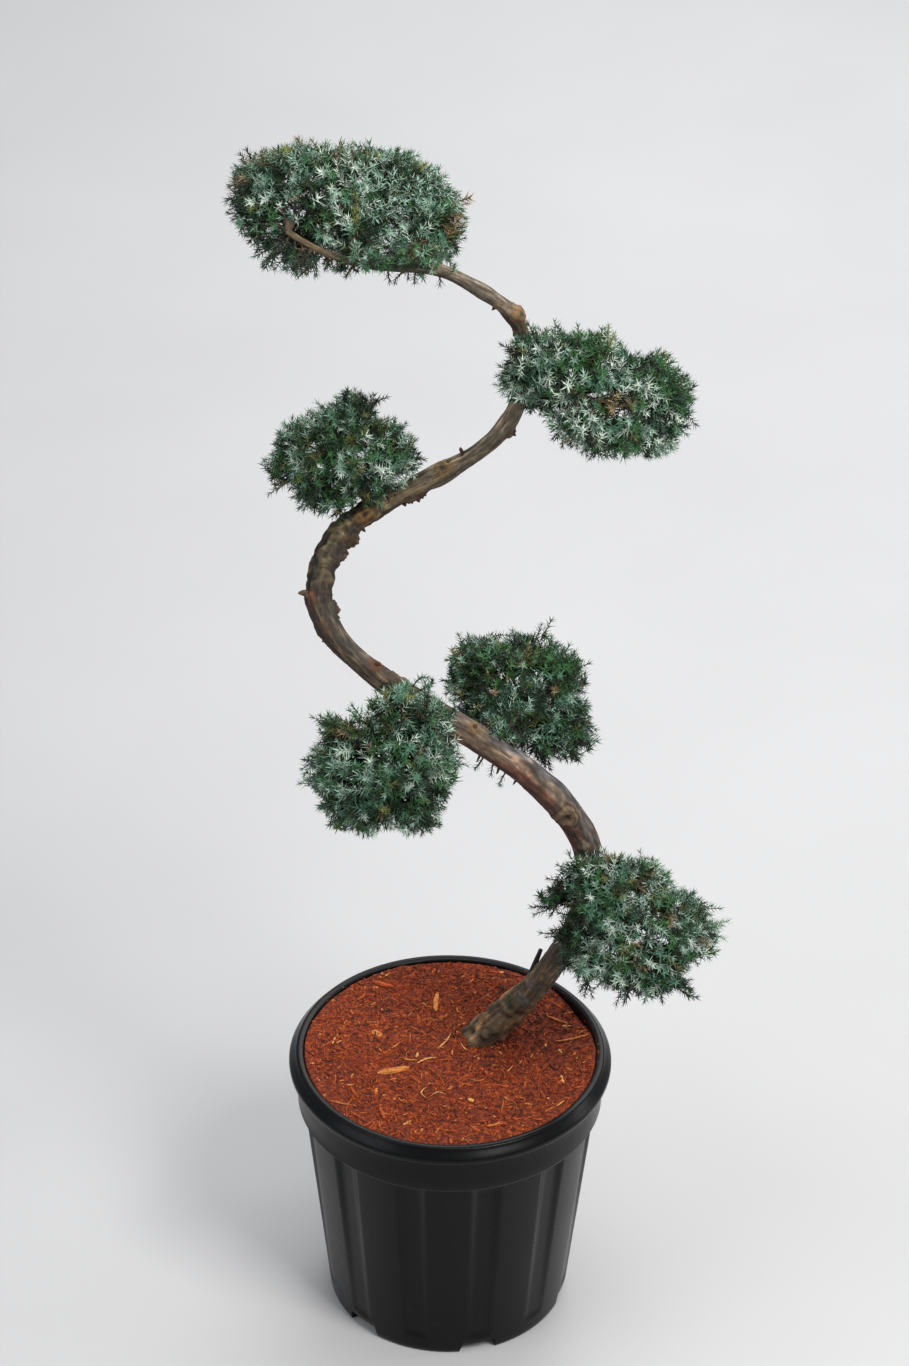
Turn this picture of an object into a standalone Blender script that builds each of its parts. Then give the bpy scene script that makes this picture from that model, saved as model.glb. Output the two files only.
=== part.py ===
"""Spiral topiary: a dwarf conifer whose stem is trained as a corkscrew, with six
clipped pads of foliage, growing in a fluted nursery container.

Metres, +Z up. The origin is on the container's axis at the level it stands on,
and -Y is the side that the spiral is looked at from.
"""

import math

import bmesh
import bpy
from mathutils import Vector, noise

GAP = 0.0003  # between pieces that touch

# Container: a turned, injection-moulded nursery pot
POT_TOP = 0.2702  # top of the rolled lip
LIP_R = 0.1467  # widest radius, on the lip
LIP_IN_R = 0.1325  # mouth
LIP_LOW = 0.2555  # underside of the lip
COLLAR_LOW = 0.2185  # the plain band under the lip ends here
COLLAR_R = 0.1388
BODY_R0 = 0.1103  # fluted body, at the ground ...
BODY_SLOPE = 0.106  # ... and how much it widens per metre of height
FOOT_R = 0.1085
SKIRT_H = 0.0118  # the floor is raised this much on the skirt
WALL = 0.0065  # outside of a rib to the inside
TURN_STEPS = 48
FLUTES = 12
FLUTE_DEPTH = 0.0038
FLUTE_WIDE = math.radians(13.0)
FLUTE_FOOT = 0.020
NOTCHES = 6
NOTCH_WIDE = 0.033
NOTCH_H = 0.0123
NOTCH_TURN = math.radians(15.0)  # the first notch, from the front
FOOT_DISC_R = 0.030  # round foot in the middle of the underside

# Bark mulch and root ball
MULCH_Z = 0.2655
MULCH_UNEVEN = 0.0022
DIP = (Vector((0.116, 0.056)), 0.0070, 0.030)  # where the mulch has sunk: place, depth, reach

# Stem: the bends of the corkscrew. Each has its place, the way the stem runs
# there, and how far its curve holds that way before and after the place
GROUND = Vector((0.027, 0.025, MULCH_Z))
BENDS = (
    ("ground", GROUND, (0.073, -0.003, 0.071), 0.000, 0.102),
    ("right_bend", Vector((0.123, 0.000, 0.453)), (0.007, -0.077, 0.210), 0.019, 0.224),
    ("left_bend", Vector((-0.114, 0.000, 0.764)), (0.003, 0.102, 0.052), 0.110, 0.121),
    ("upper_right_bend", Vector((0.055, 0.000, 0.983)), (-0.002, -0.052, 0.158), 0.167, 0.058),
    ("shoulder", Vector((0.000, -0.062, 1.097)), (-0.045, -0.031, 0.044), 0.070, 0.054),
    ("tip", Vector((-0.135, -0.045, 1.128)), (-0.058, 0.024, 0.035), 0.072, 0.000),
)
STRETCH_NAMES = ("stem_foot", "stem_front_sweep", "stem_back_sweep", "stem_neck", "leader")
# from, to, leaves by, reaches by
STRETCHES = tuple(
    (name, a[1], b[1], Vector(a[2]).normalized() * a[4], Vector(b[2]).normalized() * b[3])
    for name, a, b in zip(STRETCH_NAMES, BENDS, BENDS[1:])
)
# Stem radius at ground, the three bends, shoulder and tip
STEM_R = (0.0128, 0.0120, 0.0110, 0.0066, 0.0052, 0.0026)
FLARE_R = 0.0064  # what the root flare adds at the ground
FLARE_REACH = 0.11  # share of the first stretch it takes
# Swellings: stretch, share of its length, extra radius, half length as a share
KNOTS = (
    ("stem_foot", 0.50, -0.0021, 0.22),
    ("stem_front_sweep", 0.13, 0.0009, 0.07),
    ("stem_front_sweep", 0.26, 0.0016, 0.05),
    ("stem_front_sweep", 0.76, -0.0019, 0.10),
    ("stem_back_sweep", 0.19, 0.0011, 0.04),
    ("stem_back_sweep", 0.33, 0.0008, 0.04),
    ("stem_back_sweep", 0.55, 0.0016, 0.04),
    ("stem_back_sweep", 0.68, -0.0008, 0.06),
    ("stem_back_sweep", 0.82, 0.0009, 0.04),
    ("stem_neck", 0.52, 0.0014, 0.10),
    ("stem_neck", 0.82, 0.0012, 0.09),
)

# Boughs: name, stretch and share of its length where it leaves the stem, its
# end inside a pad, how far it rises in between, radius at each end
BOUGHS = (
    ("bough_low_right", "stem_foot", 0.72, (0.142, -0.034, 0.428), 0.004, 0.0060, 0.0044),
    ("bough_mid_right", "stem_front_sweep", 0.43, (0.058, -0.004, 0.648), 0.006, 0.0062, 0.0046),
    ("bough_low_left", "stem_front_sweep", 0.64, (-0.020, -0.098, 0.668), 0.003, 0.0060, 0.0042),
    ("bough_mid_left", "stem_back_sweep", 0.33, (-0.088, 0.062, 0.834), 0.004, 0.0056, 0.0042),
    ("bough_high_right", "stem_back_sweep", 0.90, (0.088, -0.014, 0.966), 0.004, 0.0048, 0.0036),
    ("bough_top_right", "leader", 0.30, (-0.030, -0.030, 1.124), 0.003, 0.0038, 0.0028),
    ("bough_top_left", "leader", 0.66, (-0.086, -0.030, 1.134), 0.003, 0.0034, 0.0026),
)
# Sawn stubs of old boughs: name, stretch, share, end point, radius at each end
STUBS = (
    ("stub_crossing", "stem_front_sweep", 0.565, (-0.004, -0.082, 0.653), 0.0072, 0.0056),
    ("stub_foot", "stem_foot", 0.27, (0.0805, 0.026, 0.3645), 0.0034, 0.0022),
)

# Pads of foliage: name, centre, core radii, and rounded lobes round the centre
# given as (offset), (radii)
PADS = (
    ("pad_low_right", (0.154, -0.055, 0.454), (0.040, 0.042, 0.040), (
        ((-0.038, 0.015, 0.037), (0.026, 0.034, 0.034)),
        ((-0.021, -0.005, 0.042), (0.034, 0.040, 0.036)),
        ((0.010, 0.005, 0.024), (0.034, 0.045, 0.034)),
        ((0.038, 0.000, 0.000), (0.034, 0.044, 0.034)),
        ((0.063, 0.000, -0.007), (0.024, 0.026, 0.018)),
        ((0.080, 0.000, 0.000), (0.011, 0.012, 0.011)),
        ((0.024, -0.020, -0.025), (0.034, 0.036, 0.034)),
        ((-0.011, -0.020, -0.018), (0.034, 0.036, 0.030)),
        ((-0.040, -0.010, -0.015), (0.022, 0.028, 0.034)),
        ((0.056, -0.020, -0.056), (0.011, 0.012, 0.011)),
        ((-0.073, -0.005, 0.024), (0.014, 0.015, 0.012)),
        ((0.022, 0.010, 0.050), (0.016, 0.017, 0.015)),
    )),
    ("pad_mid_right", (0.058, 0.030, 0.633), (0.040, 0.042, 0.038), (
        ((-0.031, 0.000, 0.020), (0.036, 0.044, 0.036)),
        ((-0.001, 0.010, 0.022), (0.038, 0.050, 0.032)),
        ((0.025, 0.005, 0.018), (0.032, 0.044, 0.032)),
        ((-0.040, 0.000, 0.039), (0.022, 0.030, 0.026)),
        ((-0.014, -0.012, -0.005), (0.036, 0.040, 0.030)),
        ((0.024, -0.010, -0.012), (0.038, 0.044, 0.036)),
        ((0.038, -0.020, -0.023), (0.028, 0.030, 0.022)),
        ((0.060, -0.020, -0.024), (0.010, 0.011, 0.010)),
    )),
    ("pad_low_left", (-0.059, -0.125, 0.661), (0.040, 0.042, 0.034), (
        ((-0.027, 0.000, 0.005), (0.036, 0.044, 0.036)),
        ((0.011, -0.003, 0.012), (0.042, 0.050, 0.040)),
        ((0.036, 0.005, 0.007), (0.032, 0.040, 0.034)),
        ((-0.018, -0.010, -0.019), (0.034, 0.038, 0.026)),
        ((0.019, -0.010, -0.018), (0.040, 0.040, 0.024)),
        ((-0.006, 0.015, 0.043), (0.022, 0.026, 0.024)),
        ((0.019, 0.020, 0.054), (0.032, 0.026, 0.024)),
        ((0.044, 0.025, 0.041), (0.020, 0.022, 0.016)),
        ((-0.043, 0.005, 0.044), (0.015, 0.016, 0.014)),
        ((-0.060, 0.005, -0.008), (0.012, 0.012, 0.010)),
        ((-0.017, -0.005, -0.052), (0.012, 0.012, 0.010)),
    )),
    ("pad_mid_left", (-0.094, 0.070, 0.857), (0.038, 0.040, 0.030), (
        ((-0.030, 0.000, -0.003), (0.034, 0.042, 0.032)),
        ((0.000, 0.010, 0.006), (0.040, 0.050, 0.034)),
        ((0.030, 0.000, -0.003), (0.034, 0.042, 0.030)),
        ((-0.017, -0.010, -0.027), (0.030, 0.034, 0.022)),
        ((0.017, -0.010, -0.019), (0.034, 0.034, 0.022)),
        ((0.048, -0.005, -0.006), (0.020, 0.026, 0.020)),
        ((0.008, 0.015, 0.037), (0.016, 0.018, 0.016)),
        ((-0.063, -0.005, -0.010), (0.012, 0.012, 0.011)),
        ((-0.046, 0.000, 0.013), (0.014, 0.017, 0.014)),
    )),
    ("pad_high_right", (0.116, -0.025, 0.973), (0.040, 0.038, 0.032), (
        ((-0.058, -0.010, 0.035), (0.026, 0.026, 0.030)),
        ((-0.069, -0.011, 0.011), (0.018, 0.018, 0.014)),
        ((-0.033, 0.000, 0.020), (0.034, 0.036, 0.034)),
        ((-0.004, 0.005, 0.013), (0.036, 0.044, 0.038)),
        ((0.032, 0.005, 0.004), (0.036, 0.044, 0.034)),
        ((0.053, 0.005, -0.008), (0.028, 0.034, 0.032)),
        ((0.021, -0.010, -0.020), (0.040, 0.040, 0.030)),
        ((-0.016, -0.015, -0.013), (0.034, 0.034, 0.026)),
        ((-0.009, -0.020, -0.039), (0.014, 0.014, 0.012)),
        ((0.070, 0.003, -0.016), (0.014, 0.015, 0.013)),
        ((0.046, -0.005, -0.032), (0.028, 0.032, 0.022)),
    )),
    ("pad_top", (-0.086, 0.000, 1.122), (0.044, 0.042, 0.030), (
        ((-0.062, 0.000, 0.023), (0.034, 0.042, 0.030)),
        ((-0.075, -0.005, 0.008), (0.026, 0.030, 0.026)),
        ((-0.030, 0.005, 0.017), (0.042, 0.052, 0.036)),
        ((0.004, 0.010, 0.014), (0.042, 0.055, 0.036)),
        ((0.040, 0.010, 0.006), (0.042, 0.052, 0.038)),
        ((0.064, 0.000, -0.006), (0.032, 0.044, 0.036)),
        ((-0.007, -0.020, -0.001), (0.045, 0.034, 0.028)),
        ((0.040, -0.022, -0.011), (0.050, 0.034, 0.026)),
        ((-0.039, -0.015, -0.002), (0.040, 0.036, 0.026)),
        ((-0.041, -0.035, -0.027), (0.015, 0.015, 0.018)),
        ((-0.091, 0.000, 0.003), (0.012, 0.014, 0.012)),
        ((-0.041, 0.010, 0.046), (0.014, 0.014, 0.012)),
        ((-0.072, -0.030, -0.012), (0.012, 0.012, 0.015)),
    )),
)
PAD_CUTS = 6  # cuts along each edge of the cage
PAD_UNEVEN = 0.0035
PAD_BLEND = 0.006  # how softly lobes run into each other

RING_EVERY = 0.021  # along the stem


def clear_scene():
    for obj in list(bpy.data.objects):
        bpy.data.objects.remove(obj, do_unlink=True)


def collection(name):
    made = bpy.data.collections.new(name)
    bpy.context.scene.collection.children.link(made)
    return made


def material(name, colour, roughness, metallic=0.0):
    made = bpy.data.materials.new(name)
    made.use_nodes = True
    shader = made.node_tree.nodes["Principled BSDF"]
    shader.inputs["Base Color"].default_value = (*colour, 1.0)
    shader.inputs["Roughness"].default_value = roughness
    shader.inputs["Metallic"].default_value = metallic
    return made


def add_mesh(name, mesh, where, look=None, smooth=40.0):
    obj = bpy.data.objects.new(name, mesh)
    where.objects.link(obj)
    if look:
        mesh.materials.clear()
        mesh.materials.append(look)
    mesh.shade_smooth()
    mesh.set_sharp_from_angle(angle=math.radians(smooth))
    return obj


def as_cutter(obj):
    obj.hide_render = True
    obj.display_type = "WIRE"
    return obj


def cut(obj, cutter, operation="DIFFERENCE"):
    modifier = obj.modifiers.new(f"{operation.lower()}_{cutter.name}", "BOOLEAN")
    modifier.operation = operation
    modifier.solver = "EXACT"
    modifier.object = cutter
    return modifier


def tube(name, points, radii, where, look=None, sides=4):
    """A limb: a swept circle whose radius varies, as a mesh with welded ends."""
    data = bpy.data.curves.new(name + "_path", "CURVE")
    data.dimensions = "3D"
    data.bevel_depth = 1.0
    data.bevel_resolution = sides
    data.use_fill_caps = True
    spline = data.splines.new("POLY")
    spline.points.add(len(points) - 1)
    for point, place, radius in zip(spline.points, points, radii):
        point.co = (*place, 1.0)
        point.radius = radius
    swept = bpy.data.objects.new(name + "_path", data)
    bpy.context.scene.collection.objects.link(swept)
    graph = bpy.context.evaluated_depsgraph_get()
    graph.update()
    mesh = bpy.data.meshes.new_from_object(swept.evaluated_get(graph))
    mesh.name = name
    matrix = swept.matrix_world.copy()
    bpy.data.objects.remove(swept, do_unlink=True)
    bm = bmesh.new()
    bm.from_mesh(mesh)
    bmesh.ops.remove_doubles(bm, verts=bm.verts, dist=1e-5)
    bmesh.ops.recalc_face_normals(bm, faces=bm.faces)
    bm.to_mesh(mesh)
    bm.free()
    obj = add_mesh(name, mesh, where, look)
    obj.matrix_world = matrix
    return obj


def bezier(a, leave, reach, b, t):
    s = 1.0 - t
    return (
        a * s**3
        + (a + Vector(leave)) * (3 * s * s * t)
        + (b - Vector(reach)) * (3 * s * t * t)
        + b * t**3
    )


def smooth_step(t):
    t = min(max(t, 0.0), 1.0)
    return t * t * (3 - 2 * t)


def stem_radius(index, t):
    """Radius of the stem at share t of a stretch: taper, root flare, swellings."""
    radius = STEM_R[index] + (STEM_R[index + 1] - STEM_R[index]) * smooth_step(t)
    if index == 0:
        radius += FLARE_R * math.exp(-((t / FLARE_REACH) ** 1.3))
    for stretch, share, extra, half in KNOTS:
        if stretch == STRETCHES[index][0]:
            radius += extra * math.exp(-(((t - share) / half) ** 2))
    return radius


def stretch_path(index, extra=0.0):
    name, a, b, leave, reach = STRETCHES[index]
    rings = 5 + round((b - a).length / RING_EVERY)
    # the end rings have a neighbour 1 mm away, so that each end face is square to
    # the stem's direction there
    near = 0.001 / (3 * Vector(leave).length)
    far = 1.0 - 0.001 / (3 * Vector(reach).length)
    inner = [near + (far - near) * i / (rings - 3) for i in range(rings - 2)]
    shares = [0.0, *inner, 1.0]
    points = [bezier(a, leave, reach, b, t) for t in shares]
    return points, [stem_radius(index, t) + extra for t in shares]


def trimmed(points, radii, start, end):
    """The path shortened at each end by a small length, for the gap at a joint."""
    points = list(points)
    points[0] = points[0] + (points[1] - points[0]).normalized() * start
    points[-1] = points[-1] + (points[-2] - points[-1]).normalized() * end
    return points, radii


def longer(points, radii, start, end):
    points, radii = trimmed(points, radii, -start, -end)
    return points, radii


def stem_point(stretch, share):
    for index, row in enumerate(STRETCHES):
        if row[0] == stretch:
            return bezier(row[1], row[3], row[4], row[2], share)
    raise ValueError(stretch)


def turned(name, profile, steps, where, look=None):
    """A profile of (radius, height), outer side from top to bottom, spun round Z."""
    bm = bmesh.new()
    verts = [bm.verts.new((r, 0.0, z)) for r, z in profile]
    for first, second in zip(verts, verts[1:]):
        bm.edges.new((first, second))
    mesh = bpy.data.meshes.new(name)
    bm.to_mesh(mesh)
    bm.free()
    obj = bpy.data.objects.new(name, mesh)
    where.objects.link(obj)
    screw = obj.modifiers.new("turn", "SCREW")
    screw.axis = "Z"
    screw.angle = math.tau
    screw.steps = steps
    screw.render_steps = steps
    screw.use_merge_vertices = True
    screw.merge_threshold = 0.0001
    screw.use_smooth_shade = True
    if look:
        mesh.materials.append(look)
    return obj


def body_radius(z):
    return BODY_R0 + BODY_SLOPE * z


def build_pot(parts, cutters, look):
    body_top = COLLAR_LOW - 0.0015
    floor = SKIRT_H + 0.003
    profile = [
        (0.0, floor),
        (body_radius(floor) - WALL - 0.002, floor),
        (body_radius(floor) - WALL, floor + 0.003),
        (body_radius(body_top) - WALL, body_top),
        (LIP_IN_R, COLLAR_LOW + 0.006),
        (LIP_IN_R + 0.0004, POT_TOP - 0.0022),
        (LIP_IN_R + 0.0018, POT_TOP - 0.0006),
        (LIP_R - 0.0090, POT_TOP),
        (LIP_R - 0.0066, POT_TOP - 0.0010),
        (LIP_R - 0.0018, POT_TOP - 0.0065),
        (LIP_R, POT_TOP - 0.0100),
        (LIP_R - 0.0008, LIP_LOW),
        (COLLAR_R + 0.0022, LIP_LOW - 0.0012),
        (COLLAR_R, COLLAR_LOW + 0.001),
        (COLLAR_R - 0.0012, COLLAR_LOW),
        (body_radius(body_top), body_top),
        (body_radius(0.004), 0.004),
        (FOOT_R, 0.0),
        (FOOT_R - 0.0050, 0.0),
        (FOOT_R - 0.0056, SKIRT_H),
        (FOOT_DISC_R + 0.002, SKIRT_H),
        (FOOT_DISC_R, 0.0),
        (0.0, 0.0),
    ]
    pot = turned("pot", profile, TURN_STEPS, parts, look)

    # One flute: a shallow wedge that runs out towards the foot
    top = COLLAR_LOW - 0.0040
    bm = bmesh.new()
    for height, deep in ((top, FLUTE_DEPTH), (FLUTE_FOOT, 0.0012)):
        outer = body_radius(height) + 0.0020
        inner = body_radius(height) - deep
        half = FLUTE_WIDE / 2
        for radius, share in ((outer, 1.0), (inner, 0.62), (inner, -0.62), (outer, -1.0)):
            turn = half * share
            bm.verts.new((radius * math.sin(turn), -radius * math.cos(turn), height))
    bm.verts.ensure_lookup_table()
    upper, lower = list(bm.verts[:4]), list(bm.verts[4:])
    bm.faces.new(upper)
    bm.faces.new(lower)
    for i in range(4):
        j = (i + 1) % 4
        bm.faces.new((upper[i], upper[j], lower[j], lower[i]))
    bmesh.ops.recalc_face_normals(bm, faces=bm.faces)
    flute = bpy.data.meshes.new("flute")
    bm.to_mesh(flute)
    bm.free()
    for i in range(FLUTES):
        cutter = as_cutter(bpy.data.objects.new(f"flute_{i + 1}", flute))
        cutters.objects.link(cutter)
        cutter.rotation_euler.z = math.radians(15.0) + i * math.tau / FLUTES
        cut(pot, cutter)

    # Drain notches through the skirt
    for i in range(NOTCHES):
        bpy.ops.mesh.primitive_cube_add(size=1.0)
        cutter = as_cutter(bpy.context.object)
        cutter.name = f"notch_{i + 1}"
        for vertex in cutter.data.vertices:
            vertex.co.x *= NOTCH_WIDE * (0.8 if vertex.co.z > 0 else 1.0)
            vertex.co.y *= 0.020
            vertex.co.z = NOTCH_H if vertex.co.z > 0 else -0.004
        turn = NOTCH_TURN + i * math.tau / NOTCHES
        cutter.location = (FOOT_R * math.sin(turn), -FOOT_R * math.cos(turn), 0.0)
        cutter.rotation_euler.z = turn
        for held in list(cutter.users_collection):
            held.objects.unlink(cutter)
        cutters.objects.link(cutter)
        cut(pot, cutter)
    return pot


def build_mulch(parts, look):
    """Root ball inside the pot, with an uneven top that is level under the stem."""
    floor = SKIRT_H + 0.003 + GAP
    body_top = COLLAR_LOW - 0.0015
    clear = WALL + GAP + 0.0002
    wall = LIP_IN_R - GAP - 0.0002
    profile = [
        (0.0, MULCH_Z),
        (0.030, MULCH_Z),
        (0.065, MULCH_Z),
        (0.095, MULCH_Z),
        (wall, MULCH_Z),
        (wall, COLLAR_LOW + 0.006),
        (body_radius(body_top) - clear, body_top - 0.0004),
        (body_radius(floor) - clear, floor + 0.004),
        (body_radius(floor) - clear - 0.003, floor),
        (0.0, floor),
    ]
    bm = bmesh.new()
    verts = [bm.verts.new((r, 0.0, z)) for r, z in profile]
    edges = [bm.edges.new(pair) for pair in zip(verts, verts[1:])]
    bmesh.ops.spin(
        bm, geom=verts + edges, cent=(0, 0, 0), axis=(0, 0, 1),
        angle=math.tau, steps=TURN_STEPS // 2, use_duplicate=False,
    )
    bmesh.ops.remove_doubles(bm, verts=bm.verts, dist=1e-5)
    bmesh.ops.recalc_face_normals(bm, faces=bm.faces)
    for vertex in bm.verts:
        if vertex.co.z < MULCH_Z - 0.001:
            continue
        flat = (vertex.co.xy - GROUND.xy).length
        ease = smooth_step((flat - 0.032) / 0.02)
        rim = 1.0 - 0.5 * smooth_step((vertex.co.xy.length - 0.10) / 0.03)
        rough = noise.noise(Vector((vertex.co.x * 38, vertex.co.y * 38, 4.2)))
        sunk = DIP[1] * math.exp(-((vertex.co.xy - DIP[0]).length / DIP[2]) ** 2)
        vertex.co.z += MULCH_UNEVEN * rough * ease * rim - sunk * ease
    mesh = bpy.data.meshes.new("mulch")
    bm.to_mesh(mesh)
    bm.free()
    return add_mesh("mulch", mesh, parts, look, 60.0)


def build_stem(parts, cutters, look):
    """The stem's five stretches, end to end, and fatter copies that cut the pads."""
    stretches, fat = [], []
    last = len(STRETCHES) - 1
    for index, row in enumerate(STRETCHES):
        points, radii = stretch_path(index)
        start = GAP / 2 if index else 0.0
        end = GAP / 2 if index < last else 0.0
        points, radii = trimmed(points, radii, start, end)
        if index == 0:
            points, radii = longer(points, radii, 0.03, 0.0)
        if index == last:
            # the tip is rounded off
            away = (points[-1] - points[-2]).normalized()
            points.append(points[-1] + away * 0.0018)
            radii.append(radii[-1] * 0.55)
        stretch = tube(row[0], points, radii, parts, look)
        stretches.append(stretch)
        points, radii = stretch_path(index, extra=2 * GAP)
        points, radii = longer(points, radii, 0.002, 0.004 if index == last else 0.002)
        fat.append(as_cutter(tube(row[0] + "_room", points, radii, cutters)))
    # level cut at the top of the mulch
    bpy.ops.mesh.primitive_cube_add(size=0.2, location=(GROUND.x, GROUND.y, MULCH_Z + GAP - 0.1))
    ground = as_cutter(bpy.context.object)
    ground.name = "ground_cut"
    for held in list(ground.users_collection):
        held.objects.unlink(ground)
    cutters.objects.link(ground)
    cut(stretches[0], ground)
    return stretches, fat


def limb_path(stretch, share, end, rise, rings=7):
    start = stem_point(stretch, share)
    end = Vector(end)
    middle = (start + end) / 2 + Vector((0, 0, rise))
    shares = [i / (rings - 1) for i in range(rings)]
    return [
        start * (1 - t) ** 2 + middle * (2 * t * (1 - t)) + end * t * t for t in shares
    ]


def build_limbs(parts, cutters, fat_stem, look, cut_look):
    """Boughs and sawn stubs. Each starts on the stem's bark, less a hair's gap."""
    limbs, fat = [], []
    rows = [row[:6] + (row[6],) for row in BOUGHS]
    rows += [(n, s, t, e, 0.0, r0, r1) for n, s, t, e, r0, r1 in STUBS]
    for name, stretch, share, end, rise, thick, thin in rows:
        points = limb_path(stretch, share, end, rise)
        count = len(points) - 1
        radii = [
            thick + (thin - thick) * i / count + 0.35 * thick * math.exp(-i * 1.2)
            for i in range(count + 1)
        ]
        limb = tube(name, points, radii, parts, cut_look if "stub" in name else look, 2)
        for cutter in fat_stem:
            if stretch in cutter.name:
                cut(limb, cutter)
        limbs.append(limb)
        wide = [r + GAP for r in radii]
        points, wide = longer(points, wide, 0.0, GAP)
        fat.append(as_cutter(tube(name + "_room", points, wide, cutters, None, 2)))
    return limbs, fat


def lobe_reach(direction, offset, radii):
    """How far along a unit direction from the centre an ellipsoid lobe reaches."""
    scaled_d = Vector(direction[i] / radii[i] for i in range(3))
    scaled_o = Vector(-offset[i] / radii[i] for i in range(3))
    a = scaled_d.dot(scaled_d)
    b = 2 * scaled_d.dot(scaled_o)
    c = scaled_o.dot(scaled_o) - 1
    inside = b * b - 4 * a * c
    if inside < 0:
        return 0.0
    return max((-b + math.sqrt(inside)) / (2 * a), 0.0)


def build_pads(parts, fat, look):
    pads = []
    for number, (name, centre, core, lobes) in enumerate(PADS):
        bm = bmesh.new()
        bmesh.ops.create_cube(bm, size=2.0)
        bmesh.ops.subdivide_edges(bm, edges=bm.edges[:], cuts=PAD_CUTS, use_grid_fill=True)
        for vertex in bm.verts:
            # an even spread of points over the sphere from the cube's grid
            bent = Vector(math.tan(v * math.pi / 4 * 0.97) for v in vertex.co)
            way = bent.normalized()
            reaches = [lobe_reach(way, (0, 0, 0), core)]
            reaches += [lobe_reach(way, offset, radii) for offset, radii in lobes]
            far = max(reaches)
            far += PAD_BLEND * math.log(
                sum(math.exp((reach - far) / PAD_BLEND) for reach in reaches if reach > 0)
            ) * 0.15
            rough = noise.noise(way * 3.1 + Vector((number * 7.3, 1.7, 5.1)))
            fine = noise.noise(way * 7.0 + Vector((2.9, number * 5.7, 3.3)))
            vertex.co = way * (far + PAD_UNEVEN * (rough + 0.6 * fine))
        bmesh.ops.recalc_face_normals(bm, faces=bm.faces)
        mesh = bpy.data.meshes.new(name)
        bm.to_mesh(mesh)
        bm.free()
        pad = add_mesh(name, mesh, parts, look, 180.0)
        pad.location = centre
        pads.append(pad)
    bpy.context.view_layer.update()
    for pad in pads:
        low, high = box_of(pad)
        for cutter in fat:
            c_low, c_high = box_of(cutter)
            if all(low[i] < c_high[i] and c_low[i] < high[i] for i in range(3)):
                cut(pad, cutter)
    return pads


def box_of(obj):
    corners = [obj.matrix_world @ Vector(corner) for corner in obj.bound_box]
    low = [min(c[i] for c in corners) - 0.001 for i in range(3)]
    high = [max(c[i] for c in corners) + 0.001 for i in range(3)]
    return low, high


def main():
    clear_scene()
    parts = collection("spiral_topiary")
    cutters = collection("cutters")
    plastic = material("container_plastic", (0.012, 0.013, 0.015), 0.42)
    mulch = material("bark_mulch", (0.34, 0.09, 0.03), 0.95)
    bark = material("bark", (0.13, 0.095, 0.065), 0.85)
    sawn = material("sawn_wood", (0.55, 0.36, 0.18), 0.8)
    foliage = material("foliage", (0.10, 0.19, 0.15), 0.75)

    build_pot(parts, cutters, plastic)
    build_mulch(parts, mulch)
    stretches, fat_stem = build_stem(parts, cutters, bark)
    limbs, fat_limbs = build_limbs(parts, cutters, fat_stem, bark, sawn)
    pads = build_pads(parts, fat_stem + fat_limbs, foliage)

    for obj in [o for o in parts.objects if o.name != "pot"]:
        keep = obj.matrix_world.copy()
        obj.parent = parts.objects["pot"]
        obj.matrix_world = keep


main()
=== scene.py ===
"""Looks of the potted corkscrew topiary: bark with its relief, sprays of needles on
twigs that branch from the boughs, bark mulch and a moulded container.

Metres, +Z up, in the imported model's frame.
"""

import math

import bpy
import numpy as np
from mathutils import Matrix, Vector
from mathutils.bvhtree import BVHTree


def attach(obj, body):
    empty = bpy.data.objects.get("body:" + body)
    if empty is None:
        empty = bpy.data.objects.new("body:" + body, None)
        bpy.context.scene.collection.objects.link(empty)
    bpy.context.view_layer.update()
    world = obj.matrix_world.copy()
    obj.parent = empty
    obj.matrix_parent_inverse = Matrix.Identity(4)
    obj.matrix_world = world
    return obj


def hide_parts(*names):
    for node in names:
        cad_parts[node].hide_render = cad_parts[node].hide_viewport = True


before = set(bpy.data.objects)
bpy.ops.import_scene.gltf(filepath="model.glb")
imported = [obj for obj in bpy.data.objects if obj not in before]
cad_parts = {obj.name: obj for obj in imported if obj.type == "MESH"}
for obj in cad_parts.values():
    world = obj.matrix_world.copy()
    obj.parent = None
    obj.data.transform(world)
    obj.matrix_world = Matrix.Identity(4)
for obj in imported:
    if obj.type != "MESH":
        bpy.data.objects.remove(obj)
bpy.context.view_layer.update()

# ---------------------------------------------------------------- sizes

GAP = 0.0003

POT_TOP = 0.2702
LIP_R = 0.1467
LIP_IN_R = 0.1325
LIP_LOW = 0.2555
COLLAR_LOW = 0.2185
COLLAR_R = 0.1388
BODY_R0 = 0.1103
BODY_SLOPE = 0.106
FOOT_R = 0.1085
SKIRT_H = 0.0118
WALL = 0.0065
FLUTES = 12
FLUTE_DEPTH = 0.0038
FLUTE_WIDE = math.radians(13.0)
FLUTE_FOOT = 0.020
NOTCHES = 6
NOTCH_WIDE = 0.033
NOTCH_H = 0.0123
FOOT_DISC_R = 0.030
MULCH_Z = 0.2655
DIP = ((0.116, 0.056), 0.0070, 0.030)  # where the mulch has sunk: place, depth, reach

GROUND = (0.027, 0.025, MULCH_Z)
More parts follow.
